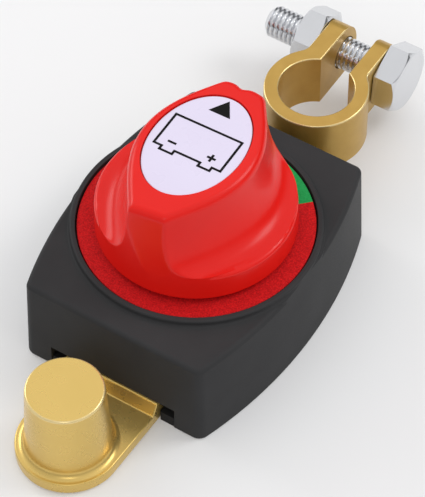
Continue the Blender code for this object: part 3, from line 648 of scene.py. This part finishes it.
def make_housing():
    shell = loft(
        "housing_shell", [barrel_ring(inset, z) for inset, z in barrel_levels(TOP_ROUND, BOTTOM_ROUND)]
    )
    join(shell, collar())
    seat = [
        (COLLAR_INNER, DIAL_SEAT),
        (COLLAR_INNER, COLLAR_TOP - 0.25 * MM),
        (COLLAR_INNER + 0.07 * MM, COLLAR_TOP - 0.07 * MM),
        (COLLAR_INNER + 0.25 * MM, COLLAR_TOP),
        (COLLAR_INNER + 0.25 * MM, COLLAR_TOP + MM),
    ]
    cut(
        shell,
        turned("dial_seat_tool", seat, 192),
        loft("chamber_tool", [barrel_ring(WALL, z) for z in (-MM, CEILING)]),
        cylinder("spindle_bore_tool", SPINDLE_BORE, CEILING - MM, COLLAR_TOP + MM, steps=96),
    )
    bosses = [(s, t) for s in (-1, 1) for t in (-1, 1)]
    low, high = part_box("base_screw_4")
    boss_x, boss_y = (low.x + high.x) / 2, (low.y + high.y) / 2
    for s, t in bosses:
        at = (s * boss_x, t * boss_y)
        join(shell, cylinder("boss_tool", BOSS_RADIUS, BOSS_BOTTOM, CEILING + 0.5 * MM, at, 32))
    for side in (-1, 1):
        rib = box(
            "rib_tool",
            (RIB_RADII[0], -RIB_HALF_WIDTH, RIB_BOTTOM),
            (RIB_RADII[1], RIB_HALF_WIDTH, CEILING + 0.5 * MM),
        )
        rib.rotation_euler.z = side * RIB_ANGLE
        bpy.context.view_layer.update()
        join(shell, rib)
    for s, t in bosses:
        at = (s * boss_x, t * boss_y)
        cut(shell, cylinder("pilot_tool", PILOT_RADIUS, -MM, PILOT_TOP, at, 24))
    notch = box(
        "notch_tool",
        (-NOTCH_HALF_WIDTH, -HALF_LENGTH - MM, -MM),
        (NOTCH_HALF_WIDTH, HALF_LENGTH + MM, NOTCH_HEIGHT),
    )
    cut(shell, notch)
    piece(shell, "case", [HOUSING_BLACK], "housing", "housing")


def make_dial():
    """The printed disc under the knob, red with a green field where the pointer stands when on."""
    steps = 240
    angles = np.linspace(0.0, 2 * math.pi, steps, endpoint=False)
    profile = [
        (DIAL_BORE, DIAL_LOW.z),
        (DIAL_BORE, DIAL_HIGH.z - DIAL_EDGE),
        (DIAL_BORE + DIAL_EDGE, DIAL_HIGH.z),
        (DIAL_RADIUS - DIAL_EDGE, DIAL_HIGH.z),
        (DIAL_RADIUS - 0.3 * DIAL_EDGE, DIAL_HIGH.z - 0.3 * DIAL_EDGE),
        (DIAL_RADIUS, DIAL_HIGH.z - DIAL_EDGE),
        (DIAL_RADIUS, DIAL_LOW.z),
    ]
    rings = [
        np.column_stack((r * np.cos(angles), r * np.sin(angles), np.full(steps, z))) for r, z in profile
    ]
    dial = loft("dial_disc", rings, joined=True)
    for material in (DIAL_RED, DIAL_GREEN):
        dial.data.materials.append(material)
    for face in dial.data.polygons:
        around = math.atan2(face.center.y, face.center.x)
        face.material_index = int(GREEN_FROM < around < GREEN_TO)
    piece(dial, "case", [], "dial_plate", "dial_plate")


# ---- Knob ----


def scoop_spread(z):
    """How far the grip's side stands out from its top outline at height z."""
    rounding = max(0.0, 1.0 - (KNOB_TOP - z) / TOP_EDGE)
    edge = TOP_EDGE * (1.0 - math.sqrt(max(0.0, 1.0 - rounding**2)))
    sweep = min(1.0, max(0.0, (SCOOP_TOP - z) / (SCOOP_TOP - SCOOP_BOTTOM)))
    hollow = SCOOP_REACH * (1.0 - (1.0 - sweep**SCOOP_POWER) ** (1.0 / SCOOP_POWER))
    return WALL_DRAFT * (KNOB_TOP - z) + hollow - edge


def grip_half_width(y, z):
    along = np.minimum(1.0, np.abs(y - GRIP_CENTRE_Y) / GRIP_HALF_LENGTH)
    lens = (1.0 - along**2) ** GRIP_FULLNESS
    return GRIP_TIP + (GRIP_HALF_WIDTH - GRIP_TIP) * lens + scoop_spread(z)


def grip_radius(angles, z):
    """Distance from the axis to the grip's side, in each direction."""
    low = np.zeros_like(angles)
    high = np.full_like(angles, 2 * KNOB_BOTTOM_RADIUS)
    for _ in range(40):
        middle = (low + high) / 2
        inside = middle * np.abs(np.cos(angles)) <= grip_half_width(middle * np.sin(angles), z)
        low = np.where(inside, middle, low)
        high = np.where(inside, high, middle)
    return low


def blank_radius(z):
    rise = (z - KNOB_BOTTOM) / (KNOB_TOP - KNOB_BOTTOM)
    radius = KNOB_BOTTOM_RADIUS + (KNOB_TOP_RADIUS - KNOB_BOTTOM_RADIUS) * rise
    rounding = max(0.0, 1.0 - (KNOB_TOP - z) / TOP_EDGE)
    foot = max(0.0, 1.0 - (z - KNOB_BOTTOM) / FOOT_ROUND)
    radius -= TOP_EDGE * (1.0 - math.sqrt(max(0.0, 1.0 - rounding**2)))
    return radius - FOOT_ROUND * (1.0 - math.sqrt(max(0.0, 1.0 - foot**2)))


def blunt_minimum(first, second, blend):
    """The lesser of two radii, with the crease between them rounded over about the blend length."""
    near = np.maximum(blend - np.abs(first - second), 0.0) / blend
    return np.minimum(first, second) - near**2 * blend / 4


def knob_section(angles, z, below_lip=False):
    """The knob's outline at height z: the blank, cut back by the two scoops above their lip."""
    facing = np.maximum(np.cos(angles - END_FLAT_DIRECTION), END_FLAT_LEAST_FACING)
    rounding = max(0.0, 1.0 - (KNOB_TOP - z) / TOP_EDGE)
    end_flat = END_FLAT_TOP + END_FLAT_DRAFT * (KNOB_TOP - z)
    end_flat -= TOP_EDGE * (1.0 - math.sqrt(max(0.0, 1.0 - rounding**2)))
    blank = np.minimum(blank_radius(z), end_flat / facing)
    if z < SCOOP_BOTTOM or below_lip:
        scooped = blunt_minimum(blank, grip_radius(angles, SCOOP_BOTTOM), CREASE)
        turn = max(0.0, 1.0 - (SCOOP_BOTTOM - z) / LIP_ROUND)
        lip = blank - LIP_ROUND * (1.0 - math.sqrt(1.0 - turn**2))
        radius = np.maximum(lip, scooped)
    else:
        radius = blunt_minimum(blank, grip_radius(angles, z), CREASE)
    rise = max(0.0, (z - SCOOP_BOTTOM) / (KNOB_TOP - SCOOP_BOTTOM))
    across = (radius * np.cos(angles) - POINTER_DENT_X) / POINTER_DENT_WIDTH
    ahead = np.sin(angles) > 0.0
    return radius - np.where(ahead, POINTER_DENT * rise * np.exp(-(across**2)), 0.0)


def knob_rings(sections, columns):
    angles = np.linspace(0.0, 2 * math.pi, columns, endpoint=False)
    rings = []
    for z, lift, inset, below_lip in sections:
        radius = knob_section(angles - GRIP_TURN, z + lift, below_lip) - inset
        rings.append(
            np.column_stack((radius * np.cos(angles), radius * np.sin(angles), np.full(columns, z)))
        )
    return rings


def scoop_levels(count):
    depth = SCOOP_TOP - SCOOP_BOTTOM
    return [SCOOP_TOP - depth * math.cos(i * math.pi / 2 / count) for i in range(count + 1)]


def rounded_levels(start, height, count, rising):
    """Heights through a quarter round, close together where it turns into the flat."""
    turns = [math.sin(i * math.pi / 2 / count) for i in range(count + 1)]
    if rising:
        return [start + height * t for t in turns]
    return [start + height * (1.0 - t) for t in turns[::-1]]


LABEL_CENTRE = ((LABEL_LOW.x + LABEL_HIGH.x) / 2, (LABEL_LOW.y + LABEL_HIGH.y) / 2)
LABEL_HALF_X = (LABEL_HIGH.x - LABEL_LOW.x) / 2
LABEL_HALF_Y = (LABEL_HIGH.y - LABEL_LOW.y) / 2


def on_label(x, y):
    """A point of the label, measured from its centre along the grip, in the knob's frame."""
    cosine, sine = math.cos(GRIP_TURN), math.sin(GRIP_TURN)
    return (LABEL_CENTRE[0] + x * cosine - y * sine, LABEL_CENTRE[1] + x * sine + y * cosine)


def label_outline(margin, count=160):
    turns = np.linspace(0.0, 2 * math.pi, count, endpoint=False)
    half_x, half_y = LABEL_HALF_X + margin, LABEL_HALF_Y + margin
    return [on_label(half_x * math.cos(t), half_y * math.sin(t)) for t in turns]


def make_knob():
    outer = [(z, 0.0, 0.0, False) for z in rounded_levels(KNOB_BOTTOM, FOOT_ROUND, 4, False)]
    outer += [(KNOB_BOTTOM + 3.0 * MM, 0.0, 0.0, False)]
    lip = rounded_levels(SCOOP_BOTTOM - LIP_ROUND, LIP_ROUND, 7, True)
    outer += [(z, 0.0, 0.0, True) for z in lip]
    outer += [(z, 0.0, 0.0, False) for z in scoop_levels(26)]
    outer += [(z, 0.0, 0.0, False) for z in rounded_levels(KNOB_TOP - TOP_EDGE, TOP_EDGE, 8, True)]
    knob = loft("knob_grip", knob_rings(outer, 400))
    hollow_tops = [z - KNOB_WALL for z in scoop_levels(10)]
    hollow = [(KNOB_BOTTOM - MM, KNOB_WALL, KNOB_WALL, False)]
    hollow += [(z, KNOB_WALL, KNOB_WALL, False) for z in hollow_tops]
    hollow += [(KNOB_TOP - KNOB_ROOF, 0.0, KNOB_WALL, False)]
    cut(knob, loft("hollow_tool", knob_rings(hollow, 120)))
    join(
        knob,
        cylinder("socket_tool", SOCKET_RADIUS, KNOB_BOTTOM + 0.3 * MM, KNOB_TOP - KNOB_ROOF + 0.3 * MM),
    )
    label_seat = LABEL_LOW.z - 0.3 * MM
    cut(
        knob,
        box(
            "square_tool",
            (-SOCKET_HALF, -SOCKET_HALF, KNOB_BOTTOM - MM),
            (SOCKET_HALF, SOCKET_HALF, SOCKET_TOP),
        ),
        cylinder("screw_hole_tool", SCREW_HOLE, SOCKET_TOP - MM, KNOB_TOP + MM),
        cylinder("screw_well_tool", SCREW_WELL, SCREW_SEAT, KNOB_TOP + MM),
        prism("label_seat_tool", label_outline(LABEL_GAP), label_seat, KNOB_TOP + MM),
    )
    piece(knob, "rotor", [KNOB_RED], "knob", "knob")


def stroke(points, width, closed=False):
    """The outline of a line of even width along points, mitred at its corners, as two loops."""
    points = [Vector(p) for p in points]
    count = len(points)
    left, right = [], []
    for i, point in enumerate(points):
        before = points[i - 1] if closed or i > 0 else None
        after = points[(i + 1) % count] if closed or i < count - 1 else None
        into = (point - before).normalized() if before is not None else (after - point).normalized()
        out = (after - point).normalized() if after is not None else into
        normal = Vector((-(into.y + out.y), into.x + out.x)).normalized()
        reach = width / 2 / max(0.3, normal.dot(Vector((-into.y, into.x))))
        left.append(point + normal * reach)
        right.append(point - normal * reach)
    return left, right


def print_stroke(name, points, width, closed=False):
    """A raised printed line on the label, through points measured from the label's centre."""
    left, right = stroke([on_label(*point) for point in points], width, closed)
    count = len(points)
    low, high = LABEL_HIGH.z - PRINT_HEIGHT, LABEL_HIGH.z + PRINT_HEIGHT
    verts = [(*p, z) for z in (low, high) for p in (*left, *right)]
    faces = []
    spans = count if closed else count - 1
    top = 2 * count
    for i in range(spans):
        j = (i + 1) % count
        a, b, c, d = i, j, count + j, count + i
        faces += [(a, b, c, d), (top + d, top + c, top + b, top + a)]
        faces += [(a, top + a, top + b, b), (c, top + c, top + d, d)]
    if not closed:
        last = count - 1
        faces += [(0, count, top + count, top), (last, top + last, top + count + last, count + last)]
    return mesh_object(name, verts, faces)


def level_bar(x, y):
    return [(x - MARK_HALF, y), (x + MARK_HALF, y)]


def make_label():
    levels = [(0.0, LABEL_LOW.z), (0.0, LABEL_HIGH.z - LABEL_EDGE)]
    levels += [(0.3 * LABEL_EDGE, LABEL_HIGH.z - 0.3 * LABEL_EDGE), (LABEL_EDGE, LABEL_HIGH.z)]
    rings = [np.array([(x, y, z) for x, y in label_outline(-inset)]) for inset, z in levels]
    piece(loft("label_plate", rings), "rotor", [LABEL_WHITE], "knob_label", "knob_label")
    outline = [(SIGN_LEFT, SIGN_TOP), (SIGN_RIGHT, SIGN_TOP), (SIGN_RIGHT, SIGN_BOTTOM)]
    tab_end = SIGN_BOTTOM - SIGN_TAB_DEPTH
    for inner, outer in SIGN_TABS:
        outline += [(outer, SIGN_BOTTOM), (outer, tab_end), (inner, tab_end), (inner, SIGN_BOTTOM)]
    outline += [(SIGN_LEFT, SIGN_BOTTOM)]
    marks = [
        print_stroke("label_battery_outline", outline, PRINT_LINE, closed=True),
        print_stroke("label_minus", level_bar(*MINUS_AT), PRINT_LINE),
    ]
    plus = print_stroke("label_plus", level_bar(*PLUS_AT), PRINT_LINE)
    x, y = PLUS_AT
    join(plus, print_stroke("plus_tool", [(x, y - MARK_HALF), (x, y + MARK_HALF)], PRINT_LINE))
    marks.append(plus)
    low, high = LABEL_HIGH.z - PRINT_HEIGHT, LABEL_HIGH.z + PRINT_HEIGHT
    marks.append(prism("label_arrow", [on_label(*corner) for corner in ARROW], low, high))
    for mark in marks:
        piece(mark, "rotor", [LABEL_INK], "knob_label")


# ---- Terminals ----


def screw_holes(y_sign, name):
    tools = []
    for x in (-SCREW_X, SCREW_X):
        at = (x, y_sign * SCREW_Y)
        tools.append(cylinder(name, SCREW_CLEARANCE, 0.0, BAR_TOP + MM, at, 32))
    return tools


def make_post_terminal():
    wall = HALF_LENGTH - WALL
    end = POST_LOW.y - MM
    bar = [
        (-BAR_INNER_END, BAR_BOTTOM),
        (-BAR_INNER_END, BAR_TOP),
        (STEP_TOP_Y, BAR_TOP),
        (STEP_FOOT_Y, TONGUE_TOP),
        (end, TONGUE_TOP),
        (end, STEP_BOTTOM),
        (-wall, STEP_BOTTOM),
        (-wall, BAR_BOTTOM),
    ]
    terminal = side_profile("post_terminal_brass", bar, BAR_HALF_WIDTH + MM)
    outline = [
        *arc((0.0, POST_Y), TONGUE_RADIUS, math.pi, 2 * math.pi, 72),
        (BAR_HALF_WIDTH, STEP_TOP_Y),
        (BAR_HALF_WIDTH, 0.0),
        (-BAR_HALF_WIDTH, 0.0),
        (-BAR_HALF_WIDTH, STEP_TOP_Y),
    ]
    clip(terminal, prism("tongue_tool", outline, -MM, BAR_TOP + MM))
    round_edges(terminal, BRASS_EDGE)
    foot_radius = POST_TOP_RADIUS + (POST_TOP - TONGUE_TOP - POST_FILLET) * POST_TAPER
    fillet = arc(
        (foot_radius + POST_FILLET, TONGUE_TOP + POST_FILLET - 0.01 * MM),
        POST_FILLET,
        math.pi,
        1.5 * math.pi,
        14,
    )
    edge = arc((POST_TOP_RADIUS - POST_EDGE, POST_TOP - POST_EDGE), POST_EDGE, math.pi / 2, 0.0, 6)
    post = [*edge, *fillet, (fillet[-1][0], STEP_BOTTOM + MM)]
    join(terminal, turned("post_tool", post, 160, (0.0, POST_Y)))
    cut(terminal, *screw_holes(-1, "post_hole_tool"))
    # Painted highlight: paler brass on the post's rounded top edges.
    paint_rim_highlight(terminal, POLISHED_BRASS, POST_TOP - POST_EDGE)
    piece(terminal, "case", [POLISHED_BRASS], "polished_brass", "post_terminal")


def paint_rim_highlight(obj, finish, above):
    """Paints a highlight on the rounded edges above a height: a paler brass that stands in for the light
    these edges catch.
    """
    for material in (finish, RIM_HIGHLIGHT_BRASS):
        obj.data.materials.append(material)
    for face in obj.data.polygons:
        across = face.center.y < EAR_ROUND_START or abs(face.normal.x) > 0.2
        on_rim = across and face.center.z > above and 0.05 < face.normal.z < 0.97
        face.material_index = int(on_rim)


def ear_fillet(side, radius):
    reach = EAR_OUTER + radius
    rise = math.sqrt((RING_OUTER + radius) ** 2 - reach**2)
    centre = (side * reach, RING_Y + rise)
    on_ring = math.atan2(-rise, -side * reach)
    on_ear = math.pi if side > 0 else 0.0
    if side > 0:
        on_ring += 2 * math.pi
    return arc(centre, radius, on_ring, on_ear, 14)


def clamp_outline():
    bore_right = math.acos(SLOT_RIGHT / RING_BORE)
    bore_left = math.acos(SLOT_LEFT / RING_BORE)
    tip = BOLT_Y + RING_TOP
    right = ear_fillet(1.0, EAR_FILLET_RIGHT)
    left = ear_fillet(-1.0, EAR_FILLET_LEFT)
    ring_right = math.atan2(right[0][1] - RING_Y, right[0][0])
    ring_left = math.atan2(left[0][1] - RING_Y, left[0][0]) - 2 * math.pi
    centre = (0.0, RING_Y)
    return [
        *arc(centre, RING_BORE, bore_right, bore_left - 2 * math.pi, 110),
        (SLOT_LEFT, tip),
        (-EAR_OUTER, tip),
        *reversed(left),
        *arc(centre, RING_OUTER, ring_left, ring_right, 96)[1:-1],
        *right,
        (EAR_OUTER, tip),
        (SLOT_RIGHT, tip),
    ]


def make_clamp_terminal():
    clamp = rounded_prism("clamp_terminal_brass", clamp_outline(), RING_BOTTOM, RING_TOP, CAST_EDGE)
    start = RING_Y - RING_OUTER - MM
    half_height = (RING_TOP - RING_BOTTOM) / 2
    tip_round = [
        (EAR_ROUND_START + EAR_ROUND_DEPTH * across, BOLT_Z + half_height * up)
        for across, up in arc((0.0, 0.0), 1.0, -math.pi / 2, math.pi / 2, 36)
    ]
    ear_round = [
        (start, RING_BOTTOM - MM),
        (EAR_ROUND_START, RING_BOTTOM - MM),
        *tip_round,
        (EAR_ROUND_START, RING_TOP + MM),
        (start, RING_TOP + MM),
    ]
    clip(clamp, side_profile("ear_round_tool", ear_round, RING_OUTER + MM))
    wall = HALF_LENGTH - WALL
    corner = (NECK_END - NECK_ROUND, CLAMP_LOW.z + NECK_ROUND)
    bar = [
        (BAR_INNER_END, BAR_BOTTOM),
        (wall, BAR_BOTTOM),
        (wall, CLAMP_LOW.z),
        *arc(corner, NECK_ROUND, -math.pi / 2, 0.0, 8),
        (NECK_END, BAR_TOP),
        (BAR_INNER_END, BAR_TOP),
    ]
    rise = NECK_TOP - BAR_TOP
    shoulder = NECK_END - rise - NECK_FLAT
    neck = [
        (shoulder, corner[1]),
        (NECK_END, corner[1]),
        (NECK_END, NECK_TOP),
        (shoulder + rise, NECK_TOP),
        *reversed(arc((shoulder, NECK_TOP), rise, -math.pi / 2, 0.0, 12)[:-1]),
    ]
    bar = side_profile("clamp_bar_tool", bar, BAR_HALF_WIDTH)
    round_edges(bar, CAST_EDGE)
    join(clamp, bar, side_profile("neck_tool", neck, NECK_HALF_WIDTH))
    bolt_hole = cylinder("bolt_hole_tool", BOLT_HOLE, -RING_OUTER, RING_OUTER, steps=64)
    bolt_hole.location = (0.0, BOLT_Y, BOLT_Z)
    bolt_hole.rotation_euler.y = math.pi / 2
    bpy.context.view_layer.update()
    bore = cylinder("ring_bore_tool", RING_BORE - 0.02 * MM, -MM, RING_BOTTOM + MM, (0.0, RING_Y), 144)
    cut(clamp, bore, bolt_hole, *screw_holes(1, "clamp_hole_tool"))
    # Painted highlight: paler brass on the clamp's rounded top edges.
    paint_rim_highlight(clamp, CAST_BRASS, RING_TOP - CAST_EDGE)
    piece(clamp, "case", [CAST_BRASS], "cast_brass", "clamp_terminal")


# ---- Bolt and nut, built along Z and laid along X ----


def hexagon():
    radius = HEX_ACROSS_FLATS / math.sqrt(3)
    turns = [HEX_TURN + math.pi + k * math.pi / 3 for k in range(6)]
    return [(radius * math.cos(t), radius * math.sin(t)) for t in turns]


def chamfered_hexagon(name, low, high, both):
    """A hexagon whose corners are turned off on its outer face, or on both faces."""
    corner = HEX_ACROSS_FLATS / math.sqrt(3)
    slope = HEX_CHAMFER / (corner - HEX_FACE_RADIUS)
    wide = corner + 0.5 * MM
    drop = slope * (wide - HEX_FACE_RADIUS)
    if both:
        profile = [(HEX_FACE_RADIUS, low), (wide, low + drop)]
    else:
        profile = [(wide, low)]
    profile += [(wide, high - drop), (HEX_FACE_RADIUS, high)]
    hexed = prism(name, hexagon(), low, high)
    clip(hexed, turned("chamfer_tool", profile, 144))
    return hexed


def lay_along_x(obj):
    """Turns a piece built along Z so that its Z runs along X, through the bolt's axis."""
    turn = Matrix.Rotation(math.pi / 2, 4, "Y")
    obj.data.transform(Matrix.Translation((0.0, BOLT_Y, BOLT_Z)) @ turn)


def make_bolt():
    bolt = chamfered_hexagon("clamp_bolt_steel", HEAD_INNER, HEAD_OUTER, both=False)
    round_edges(bolt, 0.12 * MM, 2, 20.0)
    shank_end = HEAD_INNER + 0.3 * MM
    shank = threaded_rod("shank_tool", BOLT_TIP, shank_end)
    join(bolt, shank)
    lay_along_x(bolt)
    piece(bolt, "bolt", [BOLT_STEEL], "bolt_steel", "clamp_bolt", angle=25.0)


def threaded_rod(name, low, high):
    """The threaded shank with a chamfered tip, its crests formed by a helical groove."""
    columns = 72
    per_turn = 10
    count = int(round((high - low) / THREAD_PITCH * per_turn))
    heights = np.linspace(low, high, count + 1)
    angles = np.linspace(0.0, 2 * math.pi, columns, endpoint=False)
    rings = []
    for z in heights:
        phase = np.mod((z - low) / THREAD_PITCH - angles / (2 * math.pi), 1.0)
        wave = np.clip(1.25 * (1.0 - np.abs(2.0 * phase - 1.0) * 1.9), 0.0, 1.0)
        radius = BOLT_RADIUS - THREAD_DEPTH * wave
        chamfer = BOLT_RADIUS - 1.2 * MM + (z - low)
        radius = np.minimum(radius, chamfer)
        across, up = radius * np.cos(angles), radius * np.sin(angles)
        rings.append(np.column_stack((across, up, np.full(columns, z))))
    return loft(name, rings)


def make_nut():
    nut = chamfered_hexagon("clamp_nut_steel", NUT_OUTER, NUT_INNER, both=True)
    sink = 0.6 * MM
    hole = [
        (NUT_BORE + sink + MM, NUT_OUTER - MM),
        (NUT_BORE, NUT_OUTER + sink),
        (NUT_BORE, NUT_INNER - sink),
        (NUT_BORE + sink + MM, NUT_INNER + MM),
    ]
    cut(nut, turned("nut_bore_tool", hole, 72))
    round_edges(nut, 0.12 * MM, 2, 20.0)
    lay_along_x(nut)
    piece(nut, "nut", [BOLT_STEEL], "bolt_steel", "clamp_nut", angle=25.0)


# ---- Stage ----

FLOOR_HALF = 1.5
FLOOR_THICKNESS = 2 * MM
FLOOR_GAP = 0.05 * MM
FLOOR_GLOW = 0.14
DOME_STRENGTH = 1.07
DOME_LIFT = -0.22
LIGHT_AIM = (0.0, 0.0, 0.02)
CAMERA_AZIMUTH = math.radians(33.04)
CAMERA_ELEVATION = math.radians(51.19)
CAMERA_ROLL = math.radians(-0.66)
CAMERA_TARGET = Vector((0.59, 5.47, 10.0)) * MM
CAMERA_DISTANCE = 604.3 * MM
CAMERA_LENS = 191.9


def make_floor():
    reach = FLOOR_HALF
    floor = box("floor", (-reach, -reach, -FLOOR_THICKNESS), (reach, reach, -FLOOR_GAP))
    material, nodes, links = node_material("floor_white")
    shader = nodes["Principled BSDF"]
    place = millimetres(nodes, links)
    tint = mixed(
        nodes, links, noise(nodes, links, place, 0.01), (0.74, 0.74, 0.74), (0.76, 0.76, 0.76)
    )
    links.new(tint, shader.inputs["Base Color"])
    shader.inputs["Roughness"].default_value = 0.9
    shader.inputs["Specular IOR Level"].default_value = 0.1
    shader.inputs["Emission Color"].default_value = (1.0, 1.0, 1.0, 1.0)
    shader.inputs["Emission Strength"].default_value = FLOOR_GLOW
    floor.data.materials.append(material)


def make_world():
    """A soft studio dome: bright overhead, grey towards the front horizon and dark towards the back."""
    world = bpy.data.worlds.new("studio")
    bpy.context.scene.world = world
    world.use_nodes = True
    nodes, links = world.node_tree.nodes, world.node_tree.links
    place = nodes.new("ShaderNodeTexCoord")
    split = nodes.new("ShaderNodeSeparateXYZ")
    links.new(place.outputs["Generated"], split.inputs["Vector"])
    backwards = ranged(nodes, links, split.outputs["Y"], 0.0, 1.0, 0.1, 0.7)
    horizon = mixed(nodes, links, backwards, (0.32, 0.32, 0.33), (0.03, 0.03, 0.035))
    lifted = nodes.new("ShaderNodeMath")
    lifted.operation = "MULTIPLY_ADD"
    lifted.inputs[1].default_value = DOME_LIFT
    links.new(backwards, lifted.inputs[0])
    links.new(split.outputs["Z"], lifted.inputs[2])
    overhead = ranged(nodes, links, lifted.outputs["Value"], 0.0, 1.0, 0.10, 0.50)
    towards_back = ranged(nodes, links, split.outputs["Y"], 0.0, 1.0, -0.6, 0.3)
    ceiling = mixed(nodes, links, towards_back, (0.66, 0.66, 0.67), (0.97, 0.97, 0.98))
    dome = nodes.new("ShaderNodeMix")
    dome.data_type = "RGBA"
    links.new(overhead, dome.inputs["Factor"])
    links.new(horizon, dome.inputs["A"])
    links.new(ceiling, dome.inputs["B"])
    links.new(dome.outputs["Result"], nodes["Background"].inputs["Color"])
    nodes["Background"].inputs["Strength"].default_value = DOME_STRENGTH


def area_light(name, location, target, size, power):
    data = bpy.data.lights.new(name, "AREA")
    data.shape = "RECTANGLE"
    data.size, data.size_y = size
    data.energy = power
    light = bpy.data.objects.new(name, data)
    light.location = location
    aim = Vector(target) - Vector(location)
    light.rotation_euler = aim.to_track_quat("-Z", "Y").to_euler()
    bpy.context.scene.collection.objects.link(light)


def make_lights():
    area_light("right_back", (0.45, 0.42, 0.62), LIGHT_AIM, (0.32, 0.32), 1.6)
    area_light("front", (0.35, -0.65, 0.65), LIGHT_AIM, (0.30, 0.30), 0.5)
    area_light("left", (-0.75, 0.10, 0.40), LIGHT_AIM, (0.40, 0.40), 1.5)


def make_camera():
    azimuth, elevation, roll = CAMERA_AZIMUTH, CAMERA_ELEVATION, CAMERA_ROLL
    back = Vector(
        (
            math.sin(azimuth) * math.cos(elevation),
            -math.cos(azimuth) * math.cos(elevation),
            math.sin(elevation),
        )
    )
    right = Vector((math.cos(azimuth), math.sin(azimuth), 0.0))
    up = back.cross(right)
    rolled_right = math.cos(roll) * right + math.sin(roll) * up
    rolled_up = -math.sin(roll) * right + math.cos(roll) * up
    data = bpy.data.cameras.new("camera")
    data.lens = CAMERA_LENS
    camera = bpy.data.objects.new("camera", data)
    turn = Matrix((rolled_right, rolled_up, back)).transposed().to_4x4()
    camera.matrix_world = Matrix.Translation(CAMERA_TARGET + back * CAMERA_DISTANCE) @ turn
    bpy.context.scene.collection.objects.link(camera)
    bpy.context.scene.camera = camera


bpy.context.scene.view_settings.view_transform = "Standard"
dress_carried_over()
make_housing()
make_dial()
make_knob()
make_label()
make_post_terminal()
make_clamp_terminal()
make_bolt()
make_nut()
make_floor()
make_world()
make_lights()
make_camera()
